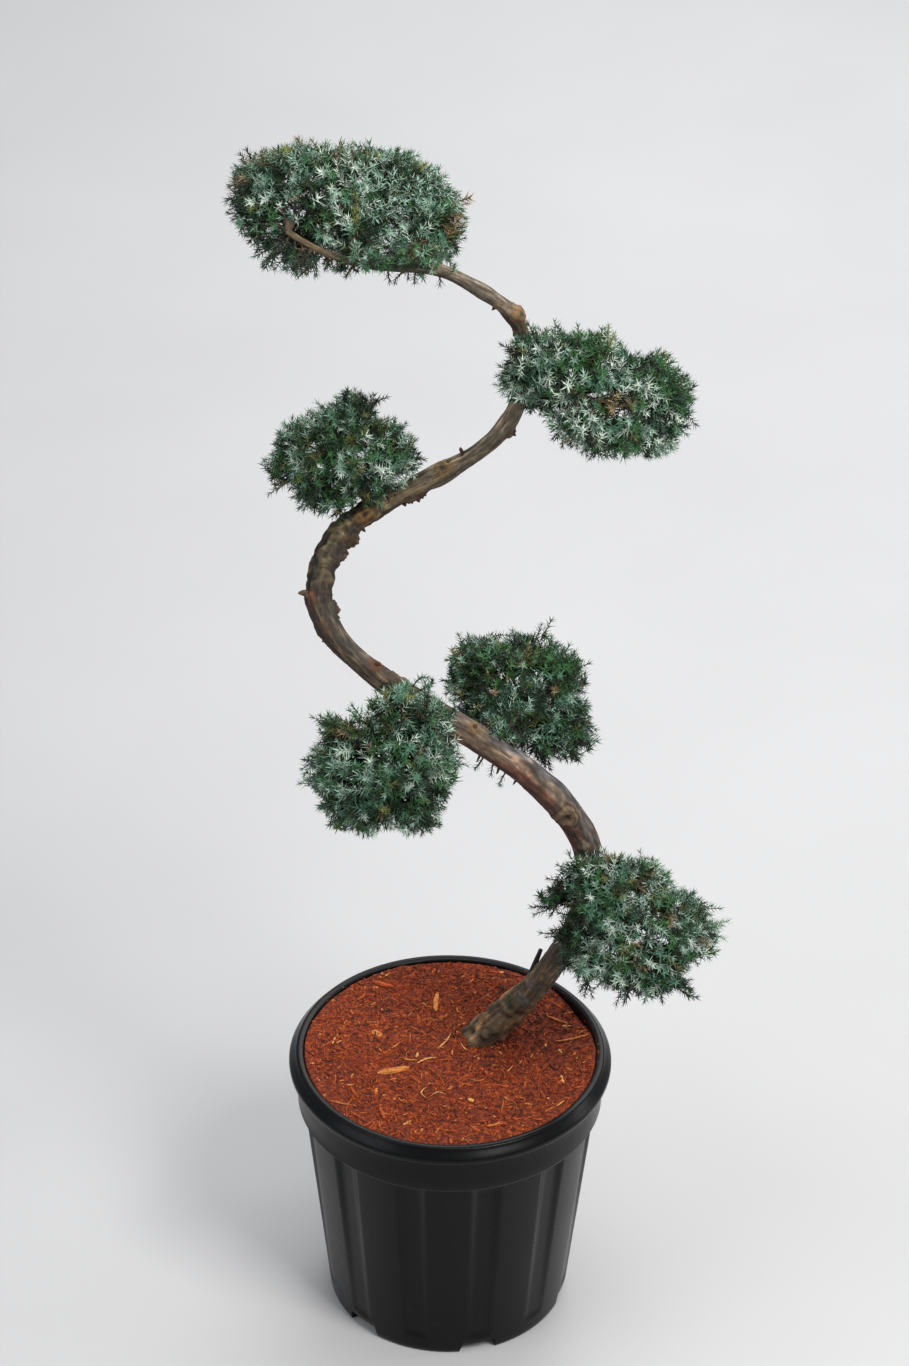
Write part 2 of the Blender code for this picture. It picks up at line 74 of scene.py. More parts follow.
# place, way the stem runs there, how far its curve holds that way before and after
BENDS = (
    (GROUND, (0.073, -0.003, 0.071), 0.000, 0.102),
    ((0.123, 0.000, 0.453), (0.007, -0.077, 0.210), 0.019, 0.224),
    ((-0.114, 0.000, 0.764), (0.003, 0.102, 0.052), 0.110, 0.121),
    ((0.055, 0.000, 0.983), (-0.002, -0.052, 0.158), 0.167, 0.058),
    ((0.000, -0.062, 1.097), (-0.045, -0.031, 0.044), 0.070, 0.054),
    ((-0.135, -0.045, 1.128), (-0.058, 0.024, 0.035), 0.072, 0.000),
)
STRETCHES = ("stem_foot", "stem_front_sweep", "stem_back_sweep", "stem_neck", "leader")
STEM_R = (0.0128, 0.0120, 0.0110, 0.0066, 0.0052, 0.0026)
FLARE_R = 0.0064
FLARE_REACH = 0.11
SWELLINGS = (
    ("stem_foot", 0.50, -0.0021, 0.22),
    ("stem_front_sweep", 0.13, 0.0009, 0.07),
    ("stem_front_sweep", 0.26, 0.0016, 0.05),
    ("stem_front_sweep", 0.76, -0.0019, 0.10),
    ("stem_back_sweep", 0.19, 0.0011, 0.04),
    ("stem_back_sweep", 0.33, 0.0008, 0.04),
    ("stem_back_sweep", 0.55, 0.0016, 0.04),
    ("stem_back_sweep", 0.68, -0.0008, 0.06),
    ("stem_back_sweep", 0.82, 0.0009, 0.04),
    ("stem_neck", 0.52, 0.0014, 0.10),
    ("stem_neck", 0.82, 0.0012, 0.09),
)
BOUGHS = {
    "bough_low_right": ("stem_foot", 0.72, (0.142, -0.034, 0.428), 0.004, 0.0060, 0.0044),
    "bough_mid_right": ("stem_front_sweep", 0.43, (0.058, -0.004, 0.648), 0.006, 0.0062, 0.0046),
    "bough_low_left": ("stem_front_sweep", 0.64, (-0.020, -0.098, 0.668), 0.003, 0.0060, 0.0042),
    "bough_mid_left": ("stem_back_sweep", 0.33, (-0.088, 0.062, 0.834), 0.004, 0.0056, 0.0042),
    "bough_high_right": ("stem_back_sweep", 0.90, (0.088, -0.014, 0.966), 0.004, 0.0048, 0.0036),
    "bough_top_right": ("leader", 0.30, (-0.030, -0.030, 1.124), 0.003, 0.0038, 0.0028),
    "bough_top_left": ("leader", 0.66, (-0.086, -0.030, 1.134), 0.003, 0.0034, 0.0026),
}
STUBS = {
    "stub_crossing": ("stem_front_sweep", 0.565, (-0.004, -0.082, 0.653), 0.0, 0.0072, 0.0056),
    "stub_foot": ("stem_foot", 0.27, (0.0805, 0.026, 0.3645), 0.0, 0.0034, 0.0022),
}
# Knots on the bark: stretch, share, way it faces, radius, height, depth of its eye, ring colour
KNOTS = (
    ("stem_front_sweep", 0.2235, (-0.22, -0.84, 0.50), 0.0112, 0.0038, 0.0070, (0.56, 0.47, 0.33)),
    ("stem_front_sweep", 0.485, (0.31, -0.40, 0.86), 0.0062, 0.0022, 0.0, (0.56, 0.42, 0.24)),
    ("stem_front_sweep", 0.462, (0.37, -0.30, 0.88), 0.0050, 0.0018, 0.0, (0.48, 0.40, 0.30)),
    ("stem_front_sweep", 0.650, (0.45, -0.30, 0.84), 0.0070, 0.0026, 0.0, (0.44, 0.34, 0.24)),
    ("stem_front_sweep", 0.677, (0.40, -0.30, 0.86), 0.0060, 0.0022, 0.0, (0.40, 0.31, 0.22)),
    ("stem_front_sweep", 0.722, (0.46, -0.34, 0.82), 0.0060, 0.0022, 0.0010, (0.42, 0.24, 0.15)),
    ("stem_front_sweep", 0.925, (0.92, -0.25, 0.30), 0.0080, 0.0034, 0.0016, (0.27, 0.26, 0.20)),
    ("stem_front_sweep", 0.960, (-0.60, -0.78, 0.15), 0.0080, 0.0018, 0.0, (0.36, 0.22, 0.15)),
    ("stem_front_sweep", 0.880, (-0.70, -0.70, 0.05), 0.0080, 0.0016, 0.0, (0.22, 0.15, 0.10)),
    ("stem_back_sweep", 0.020, (0.31, -0.84, 0.45), 0.0075, 0.0020, 0.0010, (0.48, 0.43, 0.31)),
    ("stem_back_sweep", 0.090, (-0.27, -0.76, 0.60), 0.0085, 0.0020, 0.0010, (0.48, 0.44, 0.32)),
    ("stem_back_sweep", 0.125, (0.86, -0.42, -0.25), 0.0075, 0.0034, 0.0012, (0.38, 0.28, 0.20)),
    ("stem_back_sweep", 0.202, (0.74, -0.53, -0.42), 0.0075, 0.0032, 0.0010, (0.40, 0.31, 0.21)),
    ("stem_back_sweep", 0.175, (-0.16, -0.76, 0.62), 0.0070, 0.0018, 0.0, (0.50, 0.45, 0.33)),
    ("stem_back_sweep", 0.290, (0.10, -0.90, 0.40), 0.0075, 0.0018, 0.0008, (0.58, 0.42, 0.22)),
    ("stem_back_sweep", 0.378, (-0.26, -0.50, 0.82), 0.0085, 0.0024, 0.0010, (0.60, 0.49, 0.28)),
    ("stem_back_sweep", 0.450, (0.38, -0.62, -0.68), 0.0075, 0.0026, 0.0, (0.24, 0.18, 0.13)),
    ("stem_back_sweep", 0.478, (0.35, -0.50, -0.78), 0.0060, 0.0028, 0.0010, (0.22, 0.16, 0.12)),
    ("stem_back_sweep", 0.587, (-0.19, -0.64, 0.74), 0.0078, 0.0026, 0.0012, (0.60, 0.47, 0.24)),
    ("stem_back_sweep", 0.810, (0.74, -0.53, -0.41), 0.0055, 0.0022, 0.0, (0.34, 0.27, 0.20)),
    ("stem_neck", 0.510, (0.48, -0.55, 0.68), 0.0080, 0.0024, 0.0008, (0.58, 0.44, 0.24)),
    ("stem_neck", 0.300, (-0.60, -0.70, 0.20), 0.0045, 0.0012, 0.0, (0.40, 0.30, 0.20)),
    ("stem_neck", 0.720, (-0.30, -0.80, 0.40), 0.0045, 0.0014, 0.0, (0.46, 0.36, 0.25)),
    ("stem_foot", 0.180, (0.00, -0.75, 0.65), 0.0075, 0.0014, 0.0006, (0.30, 0.27, 0.21)),
    ("stem_foot", 0.060, (-0.30, -0.85, 0.30), 0.0090, 0.0018, 0.0, (0.26, 0.23, 0.18)),
    ("leader", 0.180, (0.10, -0.80, 0.50), 0.0045, 0.0014, 0.0, (0.46, 0.36, 0.25)),
    ("leader", 0.560, (0.00, -0.70, 0.70), 0.0040, 0.0012, 0.0, (0.46, 0.38, 0.26)),
)
# Places on the bark with a colour of their own, some of them painted light: pale grey
# painted highlights on the upper side, dark painted shade on the underside and at the foot:
# stretch, share, way, reach along and round, colour, strength
SPOTS = (
    # painted highlight: the next five pale grey spots sit on the upper side of the front sweep, where the light falls
    ("stem_front_sweep", 0.452, (0.37, -0.31, 0.88), 0.020, 0.0085, (0.47, 0.47, 0.48), 0.80),
    ("stem_front_sweep", 0.400, (0.46, -0.15, 0.88), 0.026, 0.0090, (0.45, 0.45, 0.46), 0.85),
    ("stem_front_sweep", 0.305, (0.54, -0.10, 0.84), 0.026, 0.0085, (0.43, 0.43, 0.45), 0.80),
    ("stem_front_sweep", 0.245, (0.56, -0.20, 0.80), 0.022, 0.0080, (0.44, 0.43, 0.44), 0.75),
    ("stem_front_sweep", 0.185, (0.50, -0.46, 0.73), 0.014, 0.0070, (0.46, 0.44, 0.42), 0.60),
    ("stem_front_sweep", 0.370, (0.04, -0.82, 0.57), 0.018, 0.0070, (0.48, 0.30, 0.22), 0.60),
    ("stem_front_sweep", 0.415, (-0.05, -0.88, 0.45), 0.022, 0.0065, (0.42, 0.28, 0.20), 0.50),
    ("stem_front_sweep", 0.320, (-0.16, -0.90, 0.42), 0.020, 0.0060, (0.46, 0.30, 0.22), 0.50),
    ("stem_front_sweep", 0.280, (-0.40, -0.88, 0.22), 0.024, 0.0080, (0.46, 0.28, 0.205), 0.65),
    ("stem_front_sweep", 0.200, (-0.75, -0.65, -0.11), 0.020, 0.0080, (0.42, 0.25, 0.18), 0.65),
    ("stem_foot", 0.183, (-0.36, -0.48, 0.80), 0.0060, 0.0075, (0.20, 0.26, 0.12), 0.85),
    ("stem_foot", 0.230, (-0.01, -0.79, 0.61), 0.0055, 0.0070, (0.42, 0.44, 0.46), 0.75),
    ("stem_foot", 0.303, (-0.11, -0.73, 0.68), 0.0090, 0.0070, (0.44, 0.38, 0.42), 0.70),
    # painted shadow: the next two near-black spots sit at the foot, where the stem meets the mulch
    ("stem_foot", 0.050, (0.21, -0.88, 0.43), 0.0120, 0.0060, (0.13, 0.10, 0.075), 0.75),
    ("stem_foot", 0.000, (0.35, -0.80, -0.45), 0.0160, 0.0080, (0.09, 0.07, 0.055), 0.90),
    ("stem_front_sweep", 0.155, (-0.62, -0.78, 0.11), 0.012, 0.0060, (0.34, 0.16, 0.12), 0.80),
    ("stem_front_sweep", 0.135, (-0.10, -0.84, 0.53), 0.012, 0.0060, (0.58, 0.55, 0.50), 0.70),
    ("stem_front_sweep", 0.353, (0.57, -0.05, 0.80), 0.0035, 0.0022, (0.86, 0.82, 0.76), 0.90),
    ("stem_front_sweep", 0.505, (-0.42, -0.90, -0.12), 0.010, 0.0060, (0.66, 0.50, 0.38), 0.50),
    ("stem_front_sweep", 0.870, (-0.12, -0.86, 0.50), 0.008, 0.0040, (0.40, 0.26, 0.17), 0.55),
    ("stem_front_sweep", 0.910, (-0.78, -0.62, 0.02), 0.016, 0.0070, (0.16, 0.12, 0.09), 0.85),
    ("stem_front_sweep", 0.850, (-0.62, -0.78, -0.10), 0.014, 0.0060, (0.17, 0.13, 0.10), 0.80),
    ("stem_front_sweep", 0.803, (-0.07, -0.86, 0.50), 0.006, 0.0028, (0.15, 0.11, 0.08), 0.75),
    ("stem_front_sweep", 0.785, (0.10, -0.86, 0.50), 0.004, 0.0022, (0.16, 0.12, 0.09), 0.65),
    ("stem_front_sweep", 0.970, (-0.11, -0.86, 0.50), 0.0032, 0.0180, (0.34, 0.22, 0.16), 0.55),
    ("stem_front_sweep", 0.930, (0.80, -0.40, 0.40), 0.009, 0.0080, (0.20, 0.20, 0.15), 0.75),
    ("stem_back_sweep", 0.120, (-0.02, -0.83, 0.55), 0.008, 0.0050, (0.48, 0.50, 0.50), 0.70),
    ("stem_back_sweep", 0.060, (0.60, -0.75, 0.25), 0.014, 0.0060, (0.24, 0.18, 0.13), 0.75),
    ("stem_back_sweep", 0.150, (0.60, -0.75, 0.05), 0.018, 0.0060, (0.20, 0.15, 0.11), 0.70),
    ("stem_back_sweep", 0.240, (0.03, -0.83, 0.56), 0.010, 0.0050, (0.52, 0.48, 0.36), 0.55),
    ("stem_back_sweep", 0.280, (0.16, -0.92, 0.36), 0.005, 0.0035, (0.62, 0.42, 0.18), 0.65),
    ("stem_back_sweep", 0.317, (-0.13, -0.70, 0.72), 0.005, 0.0035, (0.62, 0.43, 0.19), 0.60),
    # painted shade: the next two dark spots sit on the underside of the back sweep
    ("stem_back_sweep", 0.340, (0.36, -0.70, -0.60), 0.030, 0.0050, (0.26, 0.20, 0.15), 0.55),
    ("stem_back_sweep", 0.460, (0.36, -0.50, -0.80), 0.030, 0.0045, (0.24, 0.19, 0.14), 0.60),
    ("stem_back_sweep", 0.690, (0.10, -0.70, 0.70), 0.040, 0.0040, (0.55, 0.52, 0.47), 0.55),
    ("stem_back_sweep", 0.880, (0.20, -0.75, 0.60), 0.030, 0.0034, (0.52, 0.47, 0.38), 0.50),
    # painted shade: a dark spot on the lower side of the neck
    ("stem_neck", 0.500, (-0.40, -0.80, -0.30), 0.018, 0.0050, (0.22, 0.16, 0.11), 0.80),
    ("stem_neck", 0.200, (0.20, -0.80, 0.50), 0.018, 0.0040, (0.50, 0.40, 0.27), 0.50),
    ("stem_neck", 0.740, (0.35, -0.65, 0.65), 0.024, 0.0040, (0.54, 0.50, 0.44), 0.55),
    ("stem_neck", 0.350, (0.20, -0.80, 0.55), 0.030, 0.0045, (0.56, 0.51, 0.45), 0.60),
    ("leader", 0.850, (-0.10, -0.60, 0.80), 0.030, 0.0060, (0.43, 0.365, 0.255), 0.85),
    ("leader", 0.990, (-0.10, -0.60, 0.80), 0.012, 0.0060, (0.48, 0.42, 0.31), 0.80),
    ("stem_front_sweep", 0.300, (0.10, -0.88, 0.46), 0.030, 0.0050, (0.60, 0.55, 0.49), 0.65),
    ("stem_front_sweep", 0.390, (0.16, -0.86, 0.50), 0.026, 0.0045, (0.60, 0.55, 0.49), 0.60),
    ("stem_front_sweep", 0.070, (-0.10, -0.84, 0.53), 0.020, 0.0055, (0.52, 0.47, 0.41), 0.55),
    # painted shade: the next two dark red-brown spots sit on the lower side of the front sweep
    ("stem_front_sweep", 0.340, (-0.62, -0.76, -0.10), 0.036, 0.0055, (0.28, 0.155, 0.11), 0.75),
    ("stem_front_sweep", 0.240, (-0.80, -0.55, -0.20), 0.030, 0.0060, (0.26, 0.15, 0.11), 0.75),
    ("stem_foot", 0.110, (-0.20, -0.75, 0.60), 0.0150, 0.0110, (0.50, 0.41, 0.30), 0.70),
    ("stem_foot", 0.020, (-0.30, -0.85, 0.30), 0.0120, 0.0110, (0.46, 0.37, 0.27), 0.70),
    ("stem_back_sweep", 0.800, (0.10, -0.72, 0.65), 0.050, 0.0052, (0.62, 0.58, 0.50), 0.60),
    ("stem_back_sweep", 0.420, (0.10, -0.88, 0.46), 0.034, 0.0060, (0.62, 0.57, 0.47), 0.70),
    ("stem_back_sweep", 0.560, (-0.05, -0.75, 0.66), 0.030, 0.0055, (0.60, 0.56, 0.48), 0.60),
    # painted highlight: pale grey on the upper side of the front sweep
    ("stem_front_sweep", 0.160, (0.30, -0.70, 0.64), 0.024, 0.0055, (0.44, 0.43, 0.45), 0.60),
    ("stem_front_sweep", 0.450, (-0.20, -0.90, 0.38), 0.034, 0.0050, (0.55, 0.46, 0.37), 0.60),
    ("stem_front_sweep", 0.330, (-0.20, -0.95, 0.25), 0.040, 0.0045, (0.45, 0.27, 0.19), 0.70),
)
# Blunt snags, pegs and flakes that stand off the bark: stretch, share, way, length,
# radius at each end, look
PEGS = (
    ("stem_front_sweep", 0.983, (-0.96, -0.20, 0.14), 0.0062, 0.0046, 0.0020, "bark"),
    ("stem_front_sweep", 0.970, (-0.92, -0.25, 0.40), 0.0030, 0.0040, 0.0022, "bark"),
    ("stem_front_sweep", 0.925, (0.92, -0.20, 0.30), 0.0036, 0.0050, 0.0030, "bark"),
    ("stem_front_sweep", 0.912, (0.80, -0.40, -0.20), 0.0020, 0.0032, 0.0020, "bark"),
    ("stem_front_sweep", 0.855, (-0.70, -0.66, -0.12), 0.0028, 0.0032, 0.0012, "dead"),
    ("stem_front_sweep", 0.720, (0.50, -0.24, 0.80), 0.0042, 0.0030, 0.0020, "red"),
    ("stem_front_sweep", 0.677, (0.42, -0.20, 0.88), 0.0022, 0.0036, 0.0024, "bark"),
    ("stem_front_sweep", 0.650, (0.45, -0.20, 0.86), 0.0026, 0.0040, 0.0028, "bark"),
    ("stem_front_sweep", 0.535, (-0.55, -0.72, -0.40), 0.0100, 0.0017, 0.0012, "sawn"),
    ("stem_front_sweep", 0.480, (0.25, -0.35, 0.90), 0.0034, 0.0032, 0.0022, "bark"),
    ("stem_front_sweep", 0.440, (-0.35, -0.35, -0.85), 0.0046, 0.0014, 0.0008, "dead"),
    ("stem_front_sweep", 0.395, (-0.30, -0.40, -0.85), 0.0042, 0.0018, 0.0010, "dead"),
    ("stem_front_sweep", 0.345, (-0.45, -0.30, -0.80), 0.0036, 0.0016, 0.0008, "dead"),
    ("stem_back_sweep", 0.125, (0.88, -0.38, -0.25), 0.0034, 0.0044, 0.0030, "bark"),
    ("stem_back_sweep", 0.140, (0.85, -0.10, -0.45), 0.0026, 0.0034, 0.0020, "dead"),
    ("stem_back_sweep", 0.202, (0.74, -0.50, -0.45), 0.0036, 0.0044, 0.0028, "bark"),
    ("stem_back_sweep", 0.255, (0.60, -0.25, -0.75), 0.0016, 0.0026, 0.0014, "dead"),
    ("stem_back_sweep", 0.420, (0.35, -0.50, -0.78), 0.0016, 0.0034, 0.0018, "dead"),
    ("stem_back_sweep", 0.445, (0.35, -0.40, -0.82), 0.0030, 0.0032, 0.0014, "dead"),
    ("stem_back_sweep", 0.478, (0.40, -0.35, -0.82), 0.0040, 0.0034, 0.0020, "dead"),
    ("stem_back_sweep", 0.652, (-0.20, -0.25, 0.92), 0.0080, 0.0021, 0.0014, "bark"),
    ("stem_back_sweep", 0.600, (-0.35, -0.45, 0.80), 0.0024, 0.0032, 0.0022, "bark"),
    ("stem_back_sweep", 0.812, (0.74, -0.48, -0.45), 0.0036, 0.0024, 0.0014, "bark"),
    ("stem_neck", 0.522, (0.75, -0.45, 0.45), 0.0018, 0.0034, 0.0022, "bark"),
    ("stem_neck", 0.683, (-0.62, -0.40, -0.60), 0.0016, 0.0022, 0.0012, "dead"),
    ("stem_foot", 0.515, (0.45, -0.80, 0.10), 0.0180, 0.0016, 0.0009, "bark"),
)
# Small leafy side shoots straight off the stem: stretch, share, way, length
SIDE_SHOOTS = (
    ("stem_front_sweep", 0.427, (-0.55, -0.25, -0.78), 0.012),
    ("stem_front_sweep", 0.405, (-0.20, -0.35, -0.90), 0.010),
    ("stem_front_sweep", 0.372, (-0.40, -0.30, -0.85), 0.012),
    ("stem_front_sweep", 0.610, (0.55, -0.35, 0.80), 0.020),
    ("stem_front_sweep", 0.630, (0.60, -0.30, 0.72), 0.022),
    ("stem_front_sweep", 0.590, (0.35, -0.60, 0.72), 0.018),
    ("stem_foot", 0.560, (-0.85, -0.35, 0.35), 0.022),
    ("stem_foot", 0.600, (-0.50, -0.75, 0.25), 0.022),
    ("stem_foot", 0.530, (0.55, -0.65, -0.40), 0.022),
    ("leader", 0.130, (0.10, -0.40, -0.90), 0.007),
    ("leader", 0.290, (-0.15, -0.30, -0.92), 0.008),
    ("leader", 0.375, (-0.60, -0.20, -0.75), 0.011),
    ("leader", 0.470, (0.10, -0.20, -0.92), 0.009),
    ("leader", 0.500, (-0.10, -0.75, 0.65), 0.018),
    ("leader", 0.180, (0.15, -0.70, 0.70), 0.018),
    ("leader", 0.080, (0.20, -0.65, 0.72), 0.016),
)
# Thickets of short shoots off the underside of a stretch: stretch, shares, way,
# how far ways stray, lengths, count
THICKETS = (
    ("leader", (0.66, 1.00), (-0.25, 0.10, -0.95), 0.42, (0.012, 0.026), 30),
    ("leader", (0.44, 0.70), (-0.10, 0.55, -0.45), 0.35, (0.008, 0.014), 8),
    ("leader", (0.84, 1.00), (-0.75, 0.10, -0.60), 0.35, (0.018, 0.034), 12),
    ("leader", (0.44, 0.68), (-0.10, -0.70, 0.55), 0.50, (0.010, 0.018), 24),
    ("leader", (0.22, 0.46), (0.00, -0.60, 0.75), 0.45, (0.011, 0.020), 22),
    ("stem_front_sweep", (0.52, 0.645), (-0.20, -0.80, 0.50), 0.45, (0.015, 0.028), 46),
    ("stem_front_sweep", (0.38, 0.47), (0.35, 0.10, 0.90), 0.35, (0.012, 0.022), 16),
)
# Stretches kept bare: stretch, shares, way they are bare towards, half width of the clearing
BARE = (
    ("leader", (0.74, 1.00), (0.00, -0.75, 0.66), 0.0080),
    ("leader", (0.12, 0.70), (0.00, -0.90, 0.35), 0.0045),
)

# Foliage pads: their boughs, the stretch of stem that feeds them too, how silvery
# they are, how far out their boughs are clothed from, and shoots that stand out
# beyond the clipped outline as (x, z) from the pad's middle
PADS = {
    "pad_low_right": dict(
        centre=(0.154, -0.055, 0.454), boughs=("bough_low_right",),
        stem=(("stem_foot", 0.70, 1.0), ("stem_front_sweep", 0.0, 0.12)), lift=0.19,
        sprigs=((0.013, 0.075), (0.024, 0.075), (0.046, 0.041), (0.082, 0.020), (0.089, 0.007),
                (0.062, -0.080), (0.034, -0.086), (-0.037, -0.079), (-0.086, 0.018), (-0.076, 0.034),
                (-0.007, 0.078), (-0.018, -0.071), (0.056, -0.045), (-0.008, -0.088), (0.062, 0.032),
                (0.048, -0.066), (-0.060, -0.052), (-0.072, -0.012), (0.080, -0.018)),
    ),
    "pad_mid_right": dict(
        centre=(0.058, 0.030, 0.633), boughs=("bough_mid_right",), stem=(), lift=-0.14, cover=0.04,
        sprigs=((-0.050, 0.064), (-0.026, 0.065), (0.011, 0.061), (0.047, 0.043), (0.068, -0.036), (-0.014, -0.040), (0.004, -0.054),
                (0.062, -0.018), (0.027, -0.072), (-0.064, 0.010), (0.032, 0.050), (0.055, 0.022)),
    ),
    "pad_low_left": dict(
        centre=(-0.059, -0.125, 0.661), boughs=("bough_low_left",), stem=(), lift=0.15,
        sprigs=((-0.058, 0.060), (-0.047, 0.060), (-0.036, 0.054), (-0.070, -0.009), (-0.062, 0.020), (0.004, 0.086), (0.022, 0.094), (0.036, 0.096), (0.046, 0.080),
                (-0.016, -0.065), (-0.037, -0.041), (0.028, -0.061), (-0.025, 0.072), (-0.054, -0.034),
                (0.049, -0.047), (-0.045, 0.058)),
    ),
    "pad_mid_left": dict(
        centre=(-0.094, 0.070, 0.857), boughs=("bough_mid_left",), stem=(), lift=0.01,
        sprigs=((0.004, 0.047), (-0.070, -0.008), (-0.066, -0.043), (0.062, -0.017),
                (0.006, -0.055), (-0.017, -0.057), (-0.045, -0.046), (-0.052, 0.026), (-0.038, 0.033),
                (0.041, 0.034), (-0.062, -0.024)),
    ),
    "pad_high_right": dict(
        centre=(0.116, -0.025, 0.973), boughs=("bough_high_right",),
        stem=(("stem_back_sweep", 0.96, 1.0), ("stem_neck", 0.0, 0.42)), lift=0.19, cover=0.30,
        sprigs=((0.005, 0.062), (-0.020, 0.063), (-0.052, 0.059), (-0.036, 0.062), (0.052, 0.038), (0.079, -0.006),
                (0.071, -0.021), (-0.006, -0.064), (-0.023, -0.051), (-0.077, 0.038), (-0.087, 0.006),
                (0.041, -0.059), (0.073, 0.012), (0.060, 0.022)),
    ),
    "pad_top": dict(
        centre=(-0.086, 0.000, 1.122), boughs=("bough_top_right", "bough_top_left"),
        stem=(("leader", 0.02, 1.0),), lift=0.26, cover=0.06,
        sprigs=((-0.083, 0.045), (-0.041, 0.058), (-0.070, 0.052), (0.022, 0.050), (0.055, 0.051),
                (0.071, 0.031), (0.090, -0.002), (0.084, -0.050), (-0.071, -0.052), (-0.043, -0.060),
                (-0.079, -0.043), (-0.098, 0.002), (-0.094, 0.027), (-0.025, 0.056), (-0.004, 0.056)),
    ),
}
# Small places with their own tint, as the shown side is looked down on: pad, (x, z)
# from its middle, radius, tint, share
TINTS = (
    ("pad_top", 0.087, 0.000, 0.016, "dead", 0.85),
    ("pad_top", 0.084, -0.022, 0.011, "dead", 0.70),
    ("pad_top", 0.014, 0.062, 0.013, "dead", 0.55),
    ("pad_top", -0.008, 0.054, 0.009, "dead", 0.85),
    ("pad_top", 0.030, 0.020, 0.030, "dead", 0.10),
    ("pad_top", -0.068, 0.055, 0.022, "olive", 0.75),
    ("pad_top", -0.090, 0.030, 0.016, "dead", 0.45),
    ("pad_top", -0.003, 0.024, 0.014, "green", 0.80),
    ("pad_top", -0.028, 0.018, 0.018, "dark", 0.70),
    ("pad_top", -0.040, -0.010, 0.020, "dark", 0.45),
    ("pad_high_right", 0.030, 0.045, 0.022, "green", 0.75),
    ("pad_high_right", -0.010, 0.050, 0.022, "green", 0.70),
    ("pad_high_right", 0.060, 0.030, 0.016, "green", 0.60),
    ("pad_high_right", -0.060, 0.010, 0.030, "silver", 0.40),
    ("pad_low_right", 0.012, 0.047, 0.011, "dead", 0.80),
    ("pad_low_right", 0.035, 0.006, 0.010, "dead", 0.80),
    ("pad_low_right", -0.022, 0.080, 0.009, "dead", 0.70),
    ("pad_low_right", -0.034, 0.010, 0.010, "dead", 0.60),
    ("pad_low_right", -0.009, 0.080, 0.015, "olive", 0.65),
    ("pad_low_right", -0.060, 0.030, 0.024, "green", 0.80),
    ("pad_low_right", 0.060, 0.000, 0.030, "silver", 0.30),
    ("pad_low_left", -0.029, 0.050, 0.011, "dead", 0.85),
    ("pad_low_left", 0.026, 0.025, 0.009, "dead", 0.85),
    ("pad_low_left", 0.000, 0.060, 0.024, "green", 0.40),
    ("pad_mid_right", -0.022, 0.003, 0.009, "dead", 0.70),
    ("pad_mid_right", 0.015, 0.065, 0.022, "olive", 0.35),
    ("pad_mid_right", 0.035, 0.045, 0.030, "green", 0.50),
    ("pad_mid_right", -0.030, 0.040, 0.024, "green", 0.40),
    ("pad_mid_right", 0.000, 0.010, 0.024, "blue", 0.40),
    ("pad_mid_left", 0.022, 0.033, 0.020, "olive", 0.60),
    ("pad_mid_left", 0.028, 0.052, 0.022, "dark", 1.00),
    ("pad_low_left", -0.044, 0.054, 0.022, "green", 0.90),
    ("pad_high_right", -0.016, 0.030, 0.022, "green", 0.80),
    ("pad_mid_left", 0.007, 0.020, 0.012, "dead", 0.35),
    ("pad_mid_left", -0.028, 0.030, 0.012, "silver", 0.80),
    ("pad_mid_left", 0.045, -0.020, 0.020, "silver", 0.60),
    ("pad_mid_left", 0.010, -0.030, 0.018, "silver", 0.50),
    ("pad_top", 0.052, 0.006, 0.034, "blue", 0.70),
    ("pad_top", 0.040, -0.020, 0.028, "blue", 0.50),
    ("pad_top", -0.050, 0.030, 0.030, "teal", 0.55),
    ("pad_top", 0.010, -0.012, 0.022, "blue", 0.50),
    ("pad_high_right", -0.030, 0.000, 0.024, "silver", 0.45),
    ("pad_high_right", 0.050, -0.004, 0.036, "green", 0.40),
    ("pad_high_right", -0.060, -0.004, 0.024, "teal", 0.55),
    ("pad_high_right", 0.010, -0.030, 0.024, "blue", 0.40),
    ("pad_low_right", -0.056, 0.004, 0.036, "green", 0.60),
    ("pad_low_right", -0.062, -0.010, 0.030, "dark", 0.35),
    ("pad_low_right", 0.010, 0.015, 0.026, "blue", 0.50),
    ("pad_low_right", 0.020, -0.040, 0.024, "teal", 0.40),
    ("pad_low_left", -0.040, 0.005, 0.026, "blue", 0.55),
    ("pad_low_left", 0.020, 0.030, 0.026, "teal", 0.45),
    ("pad_mid_left", -0.020, 0.000, 0.030, "green", 0.45),
    ("pad_mid_left", 0.020, 0.000, 0.024, "green", 0.40),
    ("pad_mid_right", 0.030, -0.015, 0.024, "teal", 0.55),
    ("pad_low_right", -0.045, 0.020, 0.036, "teal", 0.85),
    ("pad_low_right", -0.045, 0.016, 0.036, "green", 0.45),
    ("pad_low_right", -0.048, 0.004, 0.034, "dark", 0.40),
    ("pad_top", 0.050, 0.030, 0.034, "blue", 0.45),
    ("pad_top", -0.060, 0.040, 0.030, "blue", 0.35),
    ("pad_mid_left", -0.010, 0.010, 0.030, "green", 0.30),
    ("pad_high_right", 0.013, 0.054, 0.018, "olive", 1.25),
    ("pad_high_right", 0.066, 0.040, 0.021, "olive", 1.25),
    ("pad_high_right", 0.016, -0.012, 0.015, "dead", 1.55),
)
# Notches in a pad's outline, as the shown side is looked down on: pad, (x, z), radius
NOTCHED = (
    ("pad_high_right", 0.0335, 0.053, 0.0150),
    ("pad_low_left", -0.0280, 0.068, 0.0135),
)
# Stray shoot tips clipped off, in the same terms
CLIPPED = (
    ("pad_mid_right", 0.0215, 0.0770, 0.0120),
)
